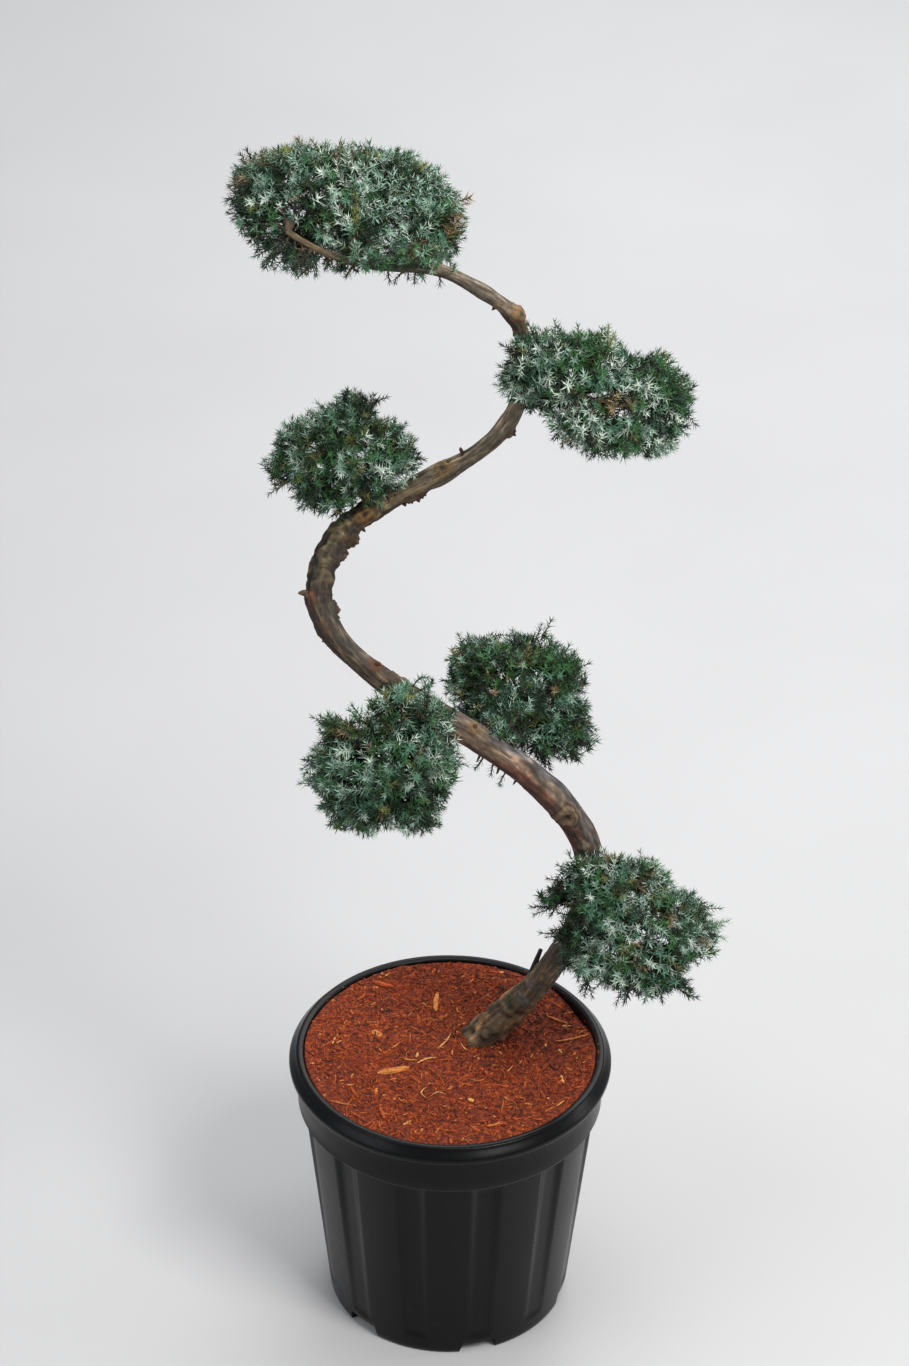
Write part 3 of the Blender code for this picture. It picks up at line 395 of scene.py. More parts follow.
# Needle tints: upper face, lower face
NEEDLES = {
    "silver": ((0.795, 0.865, 0.800), (0.42, 0.53, 0.445)),
    "blue": ((0.585, 0.710, 0.630), (0.230, 0.360, 0.285)),
    "teal": ((0.365, 0.545, 0.435), (0.130, 0.265, 0.190)),
    "green": ((0.245, 0.445, 0.245), (0.092, 0.225, 0.095)),
    "dark": ((0.105, 0.200, 0.120), (0.038, 0.088, 0.052)),
    "olive": ((0.48, 0.50, 0.26), (0.28, 0.32, 0.13)),
    "dead": ((0.575, 0.500, 0.365), (0.40, 0.335, 0.235)),
}
TINT_NAMES = tuple(NEEDLES)
# the tint of a spray's older needles, nearer the twig
OLDER = {"silver": "teal", "blue": "teal", "teal": "dark", "green": "dark", "dark": "dark", "olive": "green", "dead": "olive"}

SHOOT_GAP = 0.0067  # between shoot tips on a pad
NEEDLE_LONG = 0.0076
NEEDLE_WIDE = 0.00136
WHORL_STEP = 0.0020


# ---------------------------------------------------------------- helpers


def unit(v):
    v = np.asarray(v, float)
    return v / np.maximum(np.linalg.norm(v, axis=-1, keepdims=True), 1e-12)


def smooth_step(t):
    t = np.clip(t, 0.0, 1.0)
    return t * t * (3 - 2 * t)


def gradient_noise(places, seed=0):
    """Smooth noise of about -0.7 to 0.7 at (n, 3) places whose features are 1 across."""
    places = np.asarray(places, float)
    cell = np.floor(places).astype(np.int64)
    inner = places - cell
    ease = inner**3 * (inner * (inner * 6 - 15) + 10)
    total = np.zeros(len(places))
    for dx in (0, 1):
        for dy in (0, 1):
            for dz in (0, 1):
                key = (
                    ((cell[:, 0] + dx) * 73856093)
                    ^ ((cell[:, 1] + dy) * 19349663)
                    ^ ((cell[:, 2] + dz) * 83492791)
                    ^ (seed * 40503 + 977)
                ) & 0xFFFFFFFF
                key = ((key ^ (key >> 15)) * 2246822519) & 0xFFFFFFFF
                key = ((key ^ (key >> 13)) * 3266489917) & 0xFFFFFFFF
                key ^= key >> 16
                slope = (
                    ((key & 1023) / 511.5 - 1) * (inner[:, 0] - dx)
                    + (((key >> 10) & 1023) / 511.5 - 1) * (inner[:, 1] - dy)
                    + (((key >> 20) & 1023) / 511.5 - 1) * (inner[:, 2] - dz)
                )
                weight = (
                    (ease[:, 0] if dx else 1 - ease[:, 0])
                    * (ease[:, 1] if dy else 1 - ease[:, 1])
                    * (ease[:, 2] if dz else 1 - ease[:, 2])
                )
                total += weight * slope
    return total


def layered_noise(places, seed=0, layers=3):
    total = np.zeros(len(places))
    for k in range(layers):
        total += gradient_noise(np.asarray(places) * 2.0**k, seed + k) / 2.0**k
    return total


def linear(colour):
    """Linear base colour, from one as it looks on a screen."""
    return tuple(c / 12.92 if c <= 0.04045 else ((c + 0.055) / 1.055) ** 2.4 for c in colour)


def make_object(name, points, faces, looks, which=None, smooth=False):
    """A mesh object. faces is a list of (n, corners) arrays, which a material index each."""
    mesh = bpy.data.meshes.new(name)
    faces = [np.asarray(f, np.int32) for f in faces if len(f)]
    corners = np.concatenate([f.ravel() for f in faces])
    sizes = np.concatenate([np.full(len(f), f.shape[1], np.int32) for f in faces])
    starts = np.concatenate([[0], np.cumsum(sizes)[:-1]]).astype(np.int32)
    mesh.vertices.add(len(points))
    mesh.vertices.foreach_set("co", np.asarray(points, np.float32).ravel())
    mesh.loops.add(len(corners))
    mesh.loops.foreach_set("vertex_index", corners)
    mesh.polygons.add(len(sizes))
    mesh.polygons.foreach_set("loop_start", starts)
    for look in looks:
        mesh.materials.append(look)
    if which is not None:
        mesh.polygons.foreach_set("material_index", np.concatenate(which).astype(np.int32))
    mesh.polygons.foreach_set("use_smooth", np.full(len(sizes), smooth))
    mesh.update(calc_edges=True)
    mesh.validate()
    obj = bpy.data.objects.new(name, mesh)
    bpy.context.scene.collection.objects.link(obj)
    return obj


def point_colour(obj, name, values):
    """A colour on each vertex, from (n, 3) linear values."""
    layer = obj.data.color_attributes.new(name, "FLOAT_COLOR", "POINT")
    full = np.ones((len(values), 4), np.float32)
    full[:, :3] = values
    layer.data.foreach_set("color", full.ravel())


def point_value(obj, name, values):
    layer = obj.data.attributes.new(name, "FLOAT", "POINT")
    layer.data.foreach_set("value", np.asarray(values, np.float32))


def point_vector(obj, name, values):
    layer = obj.data.attributes.new(name, "FLOAT_VECTOR", "POINT")
    layer.data.foreach_set("vector", np.asarray(values, np.float32).ravel())


class Parts:
    """Gathers meshes that go into one object."""

    def __init__(self):
        self.points, self.faces, self.which, self.count = [], {}, {}, 0

    def add(self, points, faces, which):
        points = np.asarray(points).reshape(-1, 3)
        for f, w in zip(faces, which):
            f = np.asarray(f)
            if not len(f):
                continue
            self.faces.setdefault(f.shape[1], []).append(f + self.count)
            self.which.setdefault(f.shape[1], []).append(np.broadcast_to(w, (len(f),)))
        self.points.append(points)
        self.count += len(points)

    def arrays(self):
        sizes = sorted(self.faces)
        return (
            np.concatenate(self.points),
            [np.concatenate(self.faces[k]) for k in sizes],
            [np.concatenate(self.which[k]) for k in sizes],
        )

    def triangles(self):
        return sum(len(f) * (k - 2) for k in self.faces for f in self.faces[k])


def thin_tubes(paths, radii, sides, look=0, seed=0):
    """Many tubes at once: paths (n, rings, 3), radii (n, rings). Ends are capped."""
    paths, radii = np.asarray(paths, float), np.asarray(radii, float)
    n, rings, _ = paths.shape
    tangent = unit(np.gradient(paths, axis=1))
    pick = np.random.default_rng(seed).normal(size=(n, 1, 3))
    u = unit(pick - (pick * tangent).sum(-1, keepdims=True) * tangent)
    v = np.cross(tangent, u)
    turn = np.arange(sides) * math.tau / sides
    ring = (
        np.cos(turn)[None, None, :, None] * u[:, :, None]
        + np.sin(turn)[None, None, :, None] * v[:, :, None]
    )
    points = paths[:, :, None] + ring * radii[:, :, None, None]
    index = np.arange(n * rings * sides).reshape(n, rings, sides)
    a, b = index[:, :-1], index[:, 1:]
    quads = np.stack([a, np.roll(a, -1, 2), np.roll(b, -1, 2), b], -1).reshape(-1, 4)
    caps = np.concatenate([index[:, 0, ::-1], index[:, -1]])
    return points, [quads, caps], [np.full(len(quads), look), np.full(len(caps), look)]


# ---------------------------------------------------------------- materials


def new_material(name, roughness):
    made = bpy.data.materials.new(name)
    made.use_nodes = True
    shader = made.node_tree.nodes["Principled BSDF"]
    shader.inputs["Roughness"].default_value = roughness
    return made, made.node_tree, shader


def node(tree, kind, **settings):
    made = tree.nodes.new(kind)
    for key, value in settings.items():
        if key in made.inputs:
            made.inputs[key].default_value = value
        else:
            setattr(made, key, value)
    return made


def noise_node(tree, vector, scale, detail=4.0, rough=0.6):
    made = node(tree, "ShaderNodeTexNoise")
    made.inputs["Scale"].default_value = scale
    made.inputs["Detail"].default_value = detail
    made.inputs["Roughness"].default_value = rough
    if vector is not None:
        tree.links.new(vector, made.inputs["Vector"])
    return made.outputs["Fac"]


def ramp_node(tree, value, stops):
    made = node(tree, "ShaderNodeValToRGB")
    ramp = made.color_ramp
    ramp.elements[0].position, ramp.elements[1].position = stops[0][0], stops[-1][0]
    for place, _ in stops[1:-1]:
        ramp.elements.new(place)
    for element, (_, colour) in zip(ramp.elements, stops):
        element.color = (*colour, 1.0) if len(colour) == 3 else colour
    tree.links.new(value, made.inputs["Fac"])
    return made.outputs["Color"]


def mix_node(tree, factor, a, b, kind="MIX"):
    made = node(tree, "ShaderNodeMix", data_type="RGBA", blend_type=kind)
    for key, value in ((0, factor), (6, a), (7, b)):
        if hasattr(value, "links"):
            tree.links.new(value, made.inputs[key])
        elif key:
            made.inputs[key].default_value = (*value, 1.0)
        else:
            made.inputs[key].default_value = value
    return made.outputs[2]


def spread_node(tree, value, low, high):
    """Maps 0..1 of a noise onto low..high."""
    made = node(tree, "ShaderNodeMapRange")
    tree.links.new(value, made.inputs["Value"])
    made.inputs["From Min"].default_value = 0.3
    made.inputs["From Max"].default_value = 0.7
    made.inputs["To Min"].default_value = low
    made.inputs["To Max"].default_value = high
    return made.outputs["Result"]


def bump_node(tree, shader, height, distance, strength=1.0, before=None):
    made = node(tree, "ShaderNodeBump")
    made.inputs["Distance"].default_value = distance
    made.inputs["Strength"].default_value = strength
    tree.links.new(height, made.inputs["Height"])
    if before is not None:
        tree.links.new(before, made.inputs["Normal"])
    tree.links.new(made.outputs["Normal"], shader.inputs["Normal"])
    return made.outputs["Normal"]


def object_coordinates(tree):
    return node(tree, "ShaderNodeTexCoord").outputs["Object"]


def plain_material(name, colour, roughness):
    made, _, shader = new_material(name, roughness)
    shader.inputs["Base Color"].default_value = (*linear(colour), 1.0)
    return made


def bark_material(name, rough=0.85):
    """Bark whose base colour is the tint on the mesh, streaked along the limb, with painted shade in the low places of
    its relief and a painted highlight on its raised plates.
    """
    made, tree, shader = new_material(name, rough)
    tint = node(tree, "ShaderNodeAttribute", attribute_name="tint").outputs["Color"]
    run = node(tree, "ShaderNodeAttribute", attribute_name="run").outputs["Vector"]
    depth = node(tree, "ShaderNodeAttribute", attribute_name="relief").outputs["Fac"]
    streak = noise_node(tree, run, 260.0, 6.0, 0.6)
    fine = noise_node(tree, run, 1100.0, 4.0, 0.7)
    where = object_coordinates(tree)
    blotch = noise_node(tree, where, 120.0, 5.0, 0.65)
    shade = ramp_node(tree, streak, (
        (0.30, (0.46, 0.42, 0.39)), (0.45, (0.84, 0.82, 0.80)), (0.56, (1.02, 1.0, 0.98)), (0.72, (1.42, 1.38, 1.32)),
    ))
    colour = mix_node(tree, 0.9, tint, shade, "MULTIPLY")
    tone = ramp_node(tree, blotch, ((0.34, (0.66, 0.62, 0.58)), (0.50, (1.0, 1.0, 1.0)), (0.66, (1.26, 1.24, 1.20))))
    colour = mix_node(tree, 0.8, colour, tone, "MULTIPLY")
    speck = ramp_node(tree, fine, ((0.36, (0.55, 0.50, 0.46)), (0.50, (1.0, 1.0, 1.0)), (0.70, (1.3, 1.25, 1.18))))
    colour = mix_node(tree, 0.7, colour, speck, "MULTIPLY")
    # painted shade darkens the cracks and low places of the relief; painted highlight lightens the raised plates
    painted_relief_shade = ramp_node(tree, depth, ((0.12, (0.30, 0.25, 0.21)), (0.44, (0.95, 0.94, 0.92)), (0.85, (1.22, 1.20, 1.16))))
    colour = mix_node(tree, 0.9, colour, painted_relief_shade, "MULTIPLY")
    tree.links.new(colour, shader.inputs["Base Color"])
    tree.links.new(spread_node(tree, streak, 0.62, 0.92), shader.inputs["Roughness"])
    first = bump_node(tree, shader, streak, 0.0011, 0.8)
    bump_node(tree, shader, fine, 0.0004, 0.7, first)
    return made


def sawn_material():
    made, tree, shader = new_material("sawn_wood", 0.8)
    where = object_coordinates(tree)
    grain = noise_node(tree, where, 700.0, 3.0)
    colour = ramp_node(tree, grain, (
        (0.35, linear((0.62, 0.44, 0.30))), (0.55, linear((0.80, 0.62, 0.45))), (0.75, linear((0.88, 0.74, 0.56))),
    ))
    tree.links.new(colour, shader.inputs["Base Color"])
    tree.links.new(spread_node(tree, grain, 0.7, 0.9), shader.inputs["Roughness"])
    bump_node(tree, shader, grain, 0.0003)
    return made


def twig_material():
    made, tree, shader = new_material("twig_bark", 0.8)
    where = object_coordinates(tree)
    patch = noise_node(tree, where, 60.0, 3.0)
    colour = ramp_node(tree, patch, (
        (0.35, linear((0.20, 0.165, 0.12))), (0.55, linear((0.30, 0.245, 0.18))), (0.72, linear((0.39, 0.335, 0.24))),
    ))
    tree.links.new(colour, shader.inputs["Base Color"])
    return made


def plastic_material():
    made, tree, shader = new_material("container_plastic", 0.4)
    where = object_coordinates(tree)
    cloud = noise_node(tree, where, 14.0, 4.0)
    grain = noise_node(tree, where, 1400.0, 2.0)
    dust = noise_node(tree, where, 90.0, 5.0, 0.7)
    base = ramp_node(tree, cloud, (
        (0.30, linear((0.024, 0.027, 0.031))), (0.70, linear((0.036, 0.039, 0.043))),
    ))
    specks = ramp_node(tree, dust, ((0.62, (0.0, 0.0, 0.0)), (0.78, (0.10, 0.10, 0.10))))
    colour = mix_node(tree, specks, base, linear((0.36, 0.34, 0.32)))
    tree.links.new(colour, shader.inputs["Base Color"])
    tree.links.new(spread_node(tree, cloud, 0.25, 0.33), shader.inputs["Roughness"])
    shader.inputs["Specular IOR Level"].default_value = 0.165
    first = bump_node(tree, shader, grain, 0.00006, 0.5)
    bump_node(tree, shader, noise_node(tree, where, 25.0, 2.0), 0.0006, 0.35, first)
    return made


def mulch_material():
    made, tree, shader = new_material("bark_mulch", 0.95)
    where = object_coordinates(tree)
    big = noise_node(tree, where, 26.0, 4.0)
    fibre = noise_node(tree, where, 260.0, 6.0, 0.7)
    crumb = node(tree, "ShaderNodeTexVoronoi")
    crumb.inputs["Scale"].default_value = 320.0
    tree.links.new(where, crumb.inputs["Vector"])
    colour = ramp_node(tree, fibre, (
        (0.32, linear((0.22, 0.062, 0.012))), (0.46, linear((0.435, 0.145, 0.028))),
        (0.56, linear((0.60, 0.240, 0.050))), (0.70, linear((0.73, 0.37, 0.105))),
    ))
    tone = ramp_node(tree, big, ((0.32, (0.72, 0.66, 0.62)), (0.68, (1.15, 1.08, 1.0))))
    colour = mix_node(tree, 0.9, colour, tone, "MULTIPLY")
    pit = ramp_node(tree, crumb.outputs["Distance"], ((0.05, (1.1, 1.1, 1.1)), (0.75, (0.55, 0.50, 0.48))))
    colour = mix_node(tree, 0.8, colour, pit, "MULTIPLY")
    tree.links.new(colour, shader.inputs["Base Color"])
    tree.links.new(spread_node(tree, fibre, 0.85, 1.0), shader.inputs["Roughness"])
    first = bump_node(tree, shader, fibre, 0.0015, 0.9)
    bump_node(tree, shader, crumb.outputs["Distance"], 0.0008, 0.6, first)
    return made


def chip_material(name, colour, light):
    made, tree, shader = new_material(name, 0.9)
    where = object_coordinates(tree)
    grain = noise_node(tree, where, 420.0, 4.0)
    dark = tuple(c * 0.62 for c in colour)
    pale = tuple(min(c * light, 1.0) for c in colour)
    shade = ramp_node(tree, grain, ((0.34, linear(dark)), (0.52, linear(colour)), (0.70, linear(pale))))
    tree.links.new(shade, shader.inputs["Base Color"])
    bump_node(tree, shader, grain, 0.0005, 0.7)
    return made


def floor_material():
    made, tree, shader = new_material("studio_floor", 0.65)
    where = object_coordinates(tree)
    cloud = noise_node(tree, where, 1.3, 3.0)
    colour = ramp_node(tree, cloud, ((0.35, (0.525, 0.525, 0.528)), (0.65, (0.555, 0.555, 0.558))))
    tree.links.new(colour, shader.inputs["Base Color"])
    return made


# ---------------------------------------------------------------- limbs


class Limb:
    """A path with a radius, and a frame that doesn't twist, by length along it."""

    def __init__(self, points, radii, before=0.0, after=0.0):
        points, radii = np.asarray(points, float), np.asarray(radii, float)
        if before:
            points = np.concatenate([[points[0] - unit(points[1] - points[0]) * before], points])
            radii = np.concatenate([[radii[0]], radii])
        if after:
            points = np.concatenate([points, [points[-1] + unit(points[-1] - points[-2]) * after]])
            radii = np.concatenate([radii, [radii[-1]]])
        self.s = np.concatenate([[0.0], np.cumsum(np.linalg.norm(np.diff(points, axis=0), axis=1))]) - before
        self.c, self.r = points, radii
        self.t = unit(np.gradient(points, self.s, axis=0))
        first = np.array((0.0, -0.83, 0.56))
        u = [unit(first - self.t[0] * (first @ self.t[0]))]
        for t in self.t[1:]:
            u.append(unit(u[-1] - t * (u[-1] @ t)))
        self.u = np.array(u)
        self.v = np.cross(self.t, self.u)
        self.length = self.s[-1] - after

    def at(self, s, what):
        table = getattr(self, what)
        if table.ndim == 1:
            return np.interp(s, self.s, table)
        return np.stack([np.interp(s, self.s, table[:, k]) for k in range(3)], -1)


def stem_path():
    points, radii, spans, total = [], [], {}, 0.0
    for i, name in enumerate(STRETCHES):
        a, way_a, _, after = BENDS[i]
        b, way_b, before, _ = BENDS[i + 1]
        a, b = np.array(a), np.array(b)
        leave, reach = unit(way_a) * after, unit(way_b) * before
        t = np.linspace(0, 1, 241)
        w = 1 - t
        curve = (
            a * (w**3)[:, None] + (a + leave) * (3 * w * w * t)[:, None]
            + (b - reach) * (3 * w * t * t)[:, None] + b * (t**3)[:, None]
        )
        radius = STEM_R[i] + (STEM_R[i + 1] - STEM_R[i]) * smooth_step(t)
        if i == 0:
            radius = radius + FLARE_R * np.exp(-((t / FLARE_REACH) ** 1.3))
        for stretch, share, extra, half in SWELLINGS:
            if stretch == name:
                radius = radius + extra * np.exp(-(((t - share) / half) ** 2))
        lengths = np.concatenate([[0.0], np.cumsum(np.linalg.norm(np.diff(curve, axis=0), axis=1))])
        spans[name] = (t, total + lengths)
        total += lengths[-1]
        keep = slice(0, None) if i == 0 else slice(1, None)
        points.append(curve[keep])
        radii.append(radius[keep])
    return np.concatenate(points), np.concatenate(radii), spans


stem_points, stem_radii, SPANS = stem_path()
stem = Limb(stem_points, stem_radii, before=0.04, after=0.002)


def along(stretch, share):
    return float(np.interp(share, *SPANS[stretch]))


def limb_path(stretch, share, end, rise, rings=41):
    start = stem.at(along(stretch, share), "c")
    end = np.array(end)
    middle = (start + end) / 2 + np.array((0, 0, rise))
    t = np.linspace(0, 1, rings)[:, None]
    return start * (1 - t) ** 2 + middle * (2 * t * (1 - t)) + end * t * t


limbs = {}
for name, (stretch, share, end, rise, r0, r1) in {**BOUGHS, **STUBS}.items():
    path = limb_path(stretch, share, end, rise)
    k = np.linspace(0, 6, len(path))
    limbs[name] = Limb(path, r0 + (r1 - r0) * k / 6 + 0.35 * r0 * np.exp(-k * 1.2))


# the spur at the foot leaves the trunk's flank and runs up close beside it
path = np.linspace((0.0700, 0.0215, 0.3330), (0.0808, 0.0260, 0.3645), 21)
limbs["stub_foot"] = Limb(path, np.linspace(0.0031, 0.0019, 21))


def bark_relief(places, s, size, rough, seed):
    """Height of the bark in metres. places is on a limb's axis frame: around, around, along."""
    around = places[:, :2]
    broad = gradient_noise(np.column_stack([around / 0.011, s / 0.030]), seed)
    plate = gradient_noise(np.column_stack([around / 0.0052, s / 0.0085]), seed + 3)
    ridge = gradient_noise(np.column_stack([around / 0.0034, s / 0.042]), seed + 4)
    strip = gradient_noise(np.column_stack([around / 0.0019, s / 0.030]), seed + 5)
    fine = gradient_noise(np.column_stack([around / 0.0013, s / 0.0045]), seed + 9)
    ragged = np.clip((rough - 1.15) / 1.0, 0.0, 1.0)
    flake = np.tanh(plate * 5.0)
    crack = np.exp(-((strip / 0.05) ** 2))
    bands = gradient_noise(np.column_stack([around / 0.013, s / 0.0056]), seed + 7)
    height = (
        0.125 * size * broad
        + rough * (0.00046 * ragged * flake + 0.00055 * ridge + 0.00022 * strip - 0.00030 * crack + 0.00028 * fine)
        + rough * (0.00020 + 0.00045 * ragged) * bands
    )
    relief = 0.52 + (0.03 + 0.32 * ragged) * flake + 0.28 * ridge + 0.20 * fine - 0.28 * crack + (0.08 + 0.16 * ragged) * bands
    return height, relief


def stem_roughness(s):
    """How scaly the bark is along the stem."""
    knots = (
        (-0.05, 2.4), (0.03, 2.3), (0.08, 1.5), (0.20, 0.9), (0.30, 0.8), (0.42, 0.9), (0.55, 0.8), (0.62, 1.1),
        (0.655, 1.8), (0.70, 2.1), (0.745, 1.9), (0.775, 1.1), (0.84, 0.75), (1.00, 0.6), (1.15, 0.7), (1.31, 0.6),
    )
    return np.interp(s, *zip(*knots))


def around_place(stretch, share, way, s, turn, radius, limb):
    """Distance along and round the bark from a place on it."""
    s0 = along(stretch, share)
    way = unit(way)
    turn0 = math.atan2(way @ limb.at(s0, "v"), way @ limb.at(s0, "u"))
    swing = (turn - turn0 + math.pi) % math.tau - math.pi
    return s - s0, swing * radius


def stem_tint(s, turn, radius, normal, places, limb):
    """Base colour of the bark: grey-brown, lichen on the scaly bend, painted shade that darkens and reddens the
    underside, and a painted highlight that pales the upper side.
    """
    stops = (
        (-0.05, (0.56, 0.45, 0.305)), (0.015, (0.62, 0.50, 0.345)), (0.06, (0.53, 0.44, 0.315)),
        (0.12, (0.38, 0.325, 0.265)), (0.20, (0.38, 0.31, 0.255)), (0.30, (0.42, 0.345, 0.29)),
        (0.40, (0.43, 0.36, 0.30)), (0.47, (0.40, 0.34, 0.285)), (0.56, (0.38, 0.33, 0.27)),
        (0.62, (0.385, 0.335, 0.26)), (0.655, (0.255, 0.215, 0.14)), (0.70, (0.235, 0.20, 0.12)),
        (0.745, (0.27, 0.23, 0.145)), (0.772, (0.52, 0.47, 0.37)), (0.82, (0.64, 0.59, 0.49)), (0.93, (0.64, 0.59, 0.49)),
        (1.02, (0.58, 0.53, 0.44)), (1.10, (0.60, 0.555, 0.485)), (1.16, (0.52, 0.475, 0.41)),
        (1.20, (0.285, 0.285, 0.225)), (1.31, (0.265, 0.265, 0.205)),
    )
    at, colours = zip(*stops)
    tint = np.stack([np.interp(s, at, [c[k] for c in colours]) for k in range(3)], -1)
    patch = layered_noise(places / 0.020, 21, 2)
    spot = layered_noise(places / 0.0085, 31, 3)
    swirl = np.column_stack([np.cos(turn) * 0.012, np.sin(turn) * 0.012])
    zone = layered_noise(np.column_stack([swirl / 0.010, s / 0.032]), 41, 2)
    streak = layered_noise(np.column_stack([swirl / 0.0042, s / 0.055]), 47, 2)
    tint *= (1 + 0.58 * streak + 0.34 * zone)[:, None]
    warm = smooth_step((zone - 0.10) / 0.30)
    tint += (0.45 * warm)[:, None] * (tint * (0.17, -0.02, -0.18))
    cool = smooth_step((-zone - 0.10) / 0.30)
    tint += (0.40 * cool)[:, None] * (np.array((0.41, 0.39, 0.35)) - tint)
    # painted shade: the underside turns darker and redder, towards the colour under, by the share red along the stem
    painted_underside_shade = smooth_step((-normal[:, 2] - 0.05 + 0.5 * patch) / 0.75)
    red = np.interp(s, (0.0, 0.18, 0.24, 0.48, 0.55, 0.66, 0.80, 1.0, 1.12, 1.31), (0.2, 0.3, 0.90, 0.90, 0.8, 0.6, 0.45, 0.45, 0.60, 0.8))
    under = np.stack([np.interp(s, (0.0, 0.60, 0.70, 1.31), x) for x in ((0.25, 0.25, 0.20, 0.19), (0.140, 0.140, 0.145, 0.155), (0.098, 0.098, 0.105, 0.125))], -1)
    tint += (painted_underside_shade * red)[:, None] * (under - tint)
    # painted highlight: the upper side turns a pale grey, most on the front sweep
    painted_top_highlight = smooth_step((normal[:, 2] - 0.35 + 0.4 * patch) / 0.5) * np.interp(s, (0.0, 0.22, 0.5, 0.62, 1.31), (0.2, 0.7, 0.5, 0.3, 0.2))
    tint += painted_top_highlight[:, None] * (np.array((0.43, 0.42, 0.42)) - tint)
    lichen = smooth_step((spot - 0.16) / 0.18) * np.interp(s, (0.64, 0.68, 0.75, 0.79, 0.90), (0.0, 0.66, 0.70, 0.25, 0.0))
    tint += lichen[:, None] * (np.array((0.55, 0.50, 0.345)) - tint)
    ruddy = smooth_step((-spot - 0.20) / 0.15) * np.interp(s, (0.60, 0.68, 0.76, 0.80, 1.2), (0.3, 0.5, 0.45, 0.12, 0.12))
    tint += ruddy[:, None] * (np.array((0.27, 0.155, 0.10)) - tint)
    moss = smooth_step((patch - 0.05) / 0.3) * np.interp(s, (-0.01, 0.02, 0.05, 0.13, 0.19), (0.0, 0.35, 0.6, 0.6, 0.0))
    moss = moss * smooth_step((normal[:, 2] + 0.5) / 0.8)
    tint += moss[:, None] * (np.array((0.17, 0.20, 0.145)) - tint)
    for stretch, share, way, long, wide, colour, strength in SPOTS:
        ds, dt = around_place(stretch, share, way, s, turn, radius, limb)
        far = np.hypot(ds / long, dt / wide) + 0.45 * spot + 0.35 * streak
        tint += (strength * smooth_step((1.15 - far) / 0.5))[:, None] * (np.array(colour) - tint)
    # dark and pale flecks: long ones on the smooth lengths, rings round the scaly bend
    flecks = layered_noise(np.column_stack([swirl / 0.0036, s / 0.019]), 53, 3)
    rings = layered_noise(np.column_stack([swirl / 0.011, s / 0.0042]), 57, 3)
    scaly = np.interp(s, (0.0, 0.06, 0.14, 0.63, 0.66, 0.75, 0.78, 1.31), (0.6, 0.6, 0.0, 0.0, 1.0, 1.0, 0.15, 0.15))
    mottle = flecks * (1 - scaly) + rings * scaly
    depth = np.interp(s, (0.0, 0.25, 0.62, 0.68, 0.75, 0.80, 1.05, 1.31), (1.00, 1.10, 1.05, 1.45, 1.35, 0.60, 0.65, 0.80))
    tint *= (0.82 * np.exp(depth * np.clip(mottle, -0.85, 0.50)))[:, None]
    brown = np.interp(s, (0.50, 0.58, 0.64, 0.665, 0.745, 0.775, 0.85), (0.0, 0.6, 0.8, 1.9, 1.9, 0.5, 0.2))
    tint *= 1 - brown[:, None] * (0.125, 0.140, 0.190)
    return np.clip(tint, 0.02, 1.0)


def knot_height(s, turn, radius, limb):
    """Adds the knots. Returns height, darkness at their eyes, and the rings' colour and share."""
    height, eye = np.zeros(len(s)), np.zeros(len(s))
    ring, colours = np.zeros(len(s)), np.zeros((len(s), 3))
    for stretch, share, way, size, high, deep, colour in KNOTS:
        ds, dt = around_place(stretch, share, way, s, turn, radius, limb)
        far = np.hypot(ds * 0.85, dt) / size
        swing = np.arctan2(dt, ds)
        far = far * (1 + 0.10 * np.sin(swing * 3 + share * 40) + 0.05 * np.sin(swing * 7 + share * 90))
        height += high * np.exp(-((far / 0.85) ** 4))
        height += 0.34 * high * np.cos(far * 11.0) * np.exp(-(((far - 0.72) / 0.45) ** 2))
        if deep:
            height -= deep * np.exp(-((far / 0.30) ** 2))
            eye += np.exp(-((far / 0.34) ** 2)) * min(deep / 0.0016, 1.0)
            eye += 0.75 * np.exp(-(((far - 0.60 - 0.05 * np.sin(swing * 2)) / 0.075) ** 2)) * min(deep / 0.0040, 1.0)
            eye += 0.70 * np.exp(-(((far - 1.04) / 0.085) ** 2)) * min(deep / 0.0040, 1.0)
        here = np.exp(-(((far - 0.62) / 0.42) ** 2))
        ring += here
        colours += here[:, None] * np.array(colour)
    colours /= np.maximum(ring, 1e-6)[:, None]
    return height, np.clip(eye, 0, 1), np.clip(ring, 0, 1), colours


foot_ring = []  # where the stem's surface meets the ground


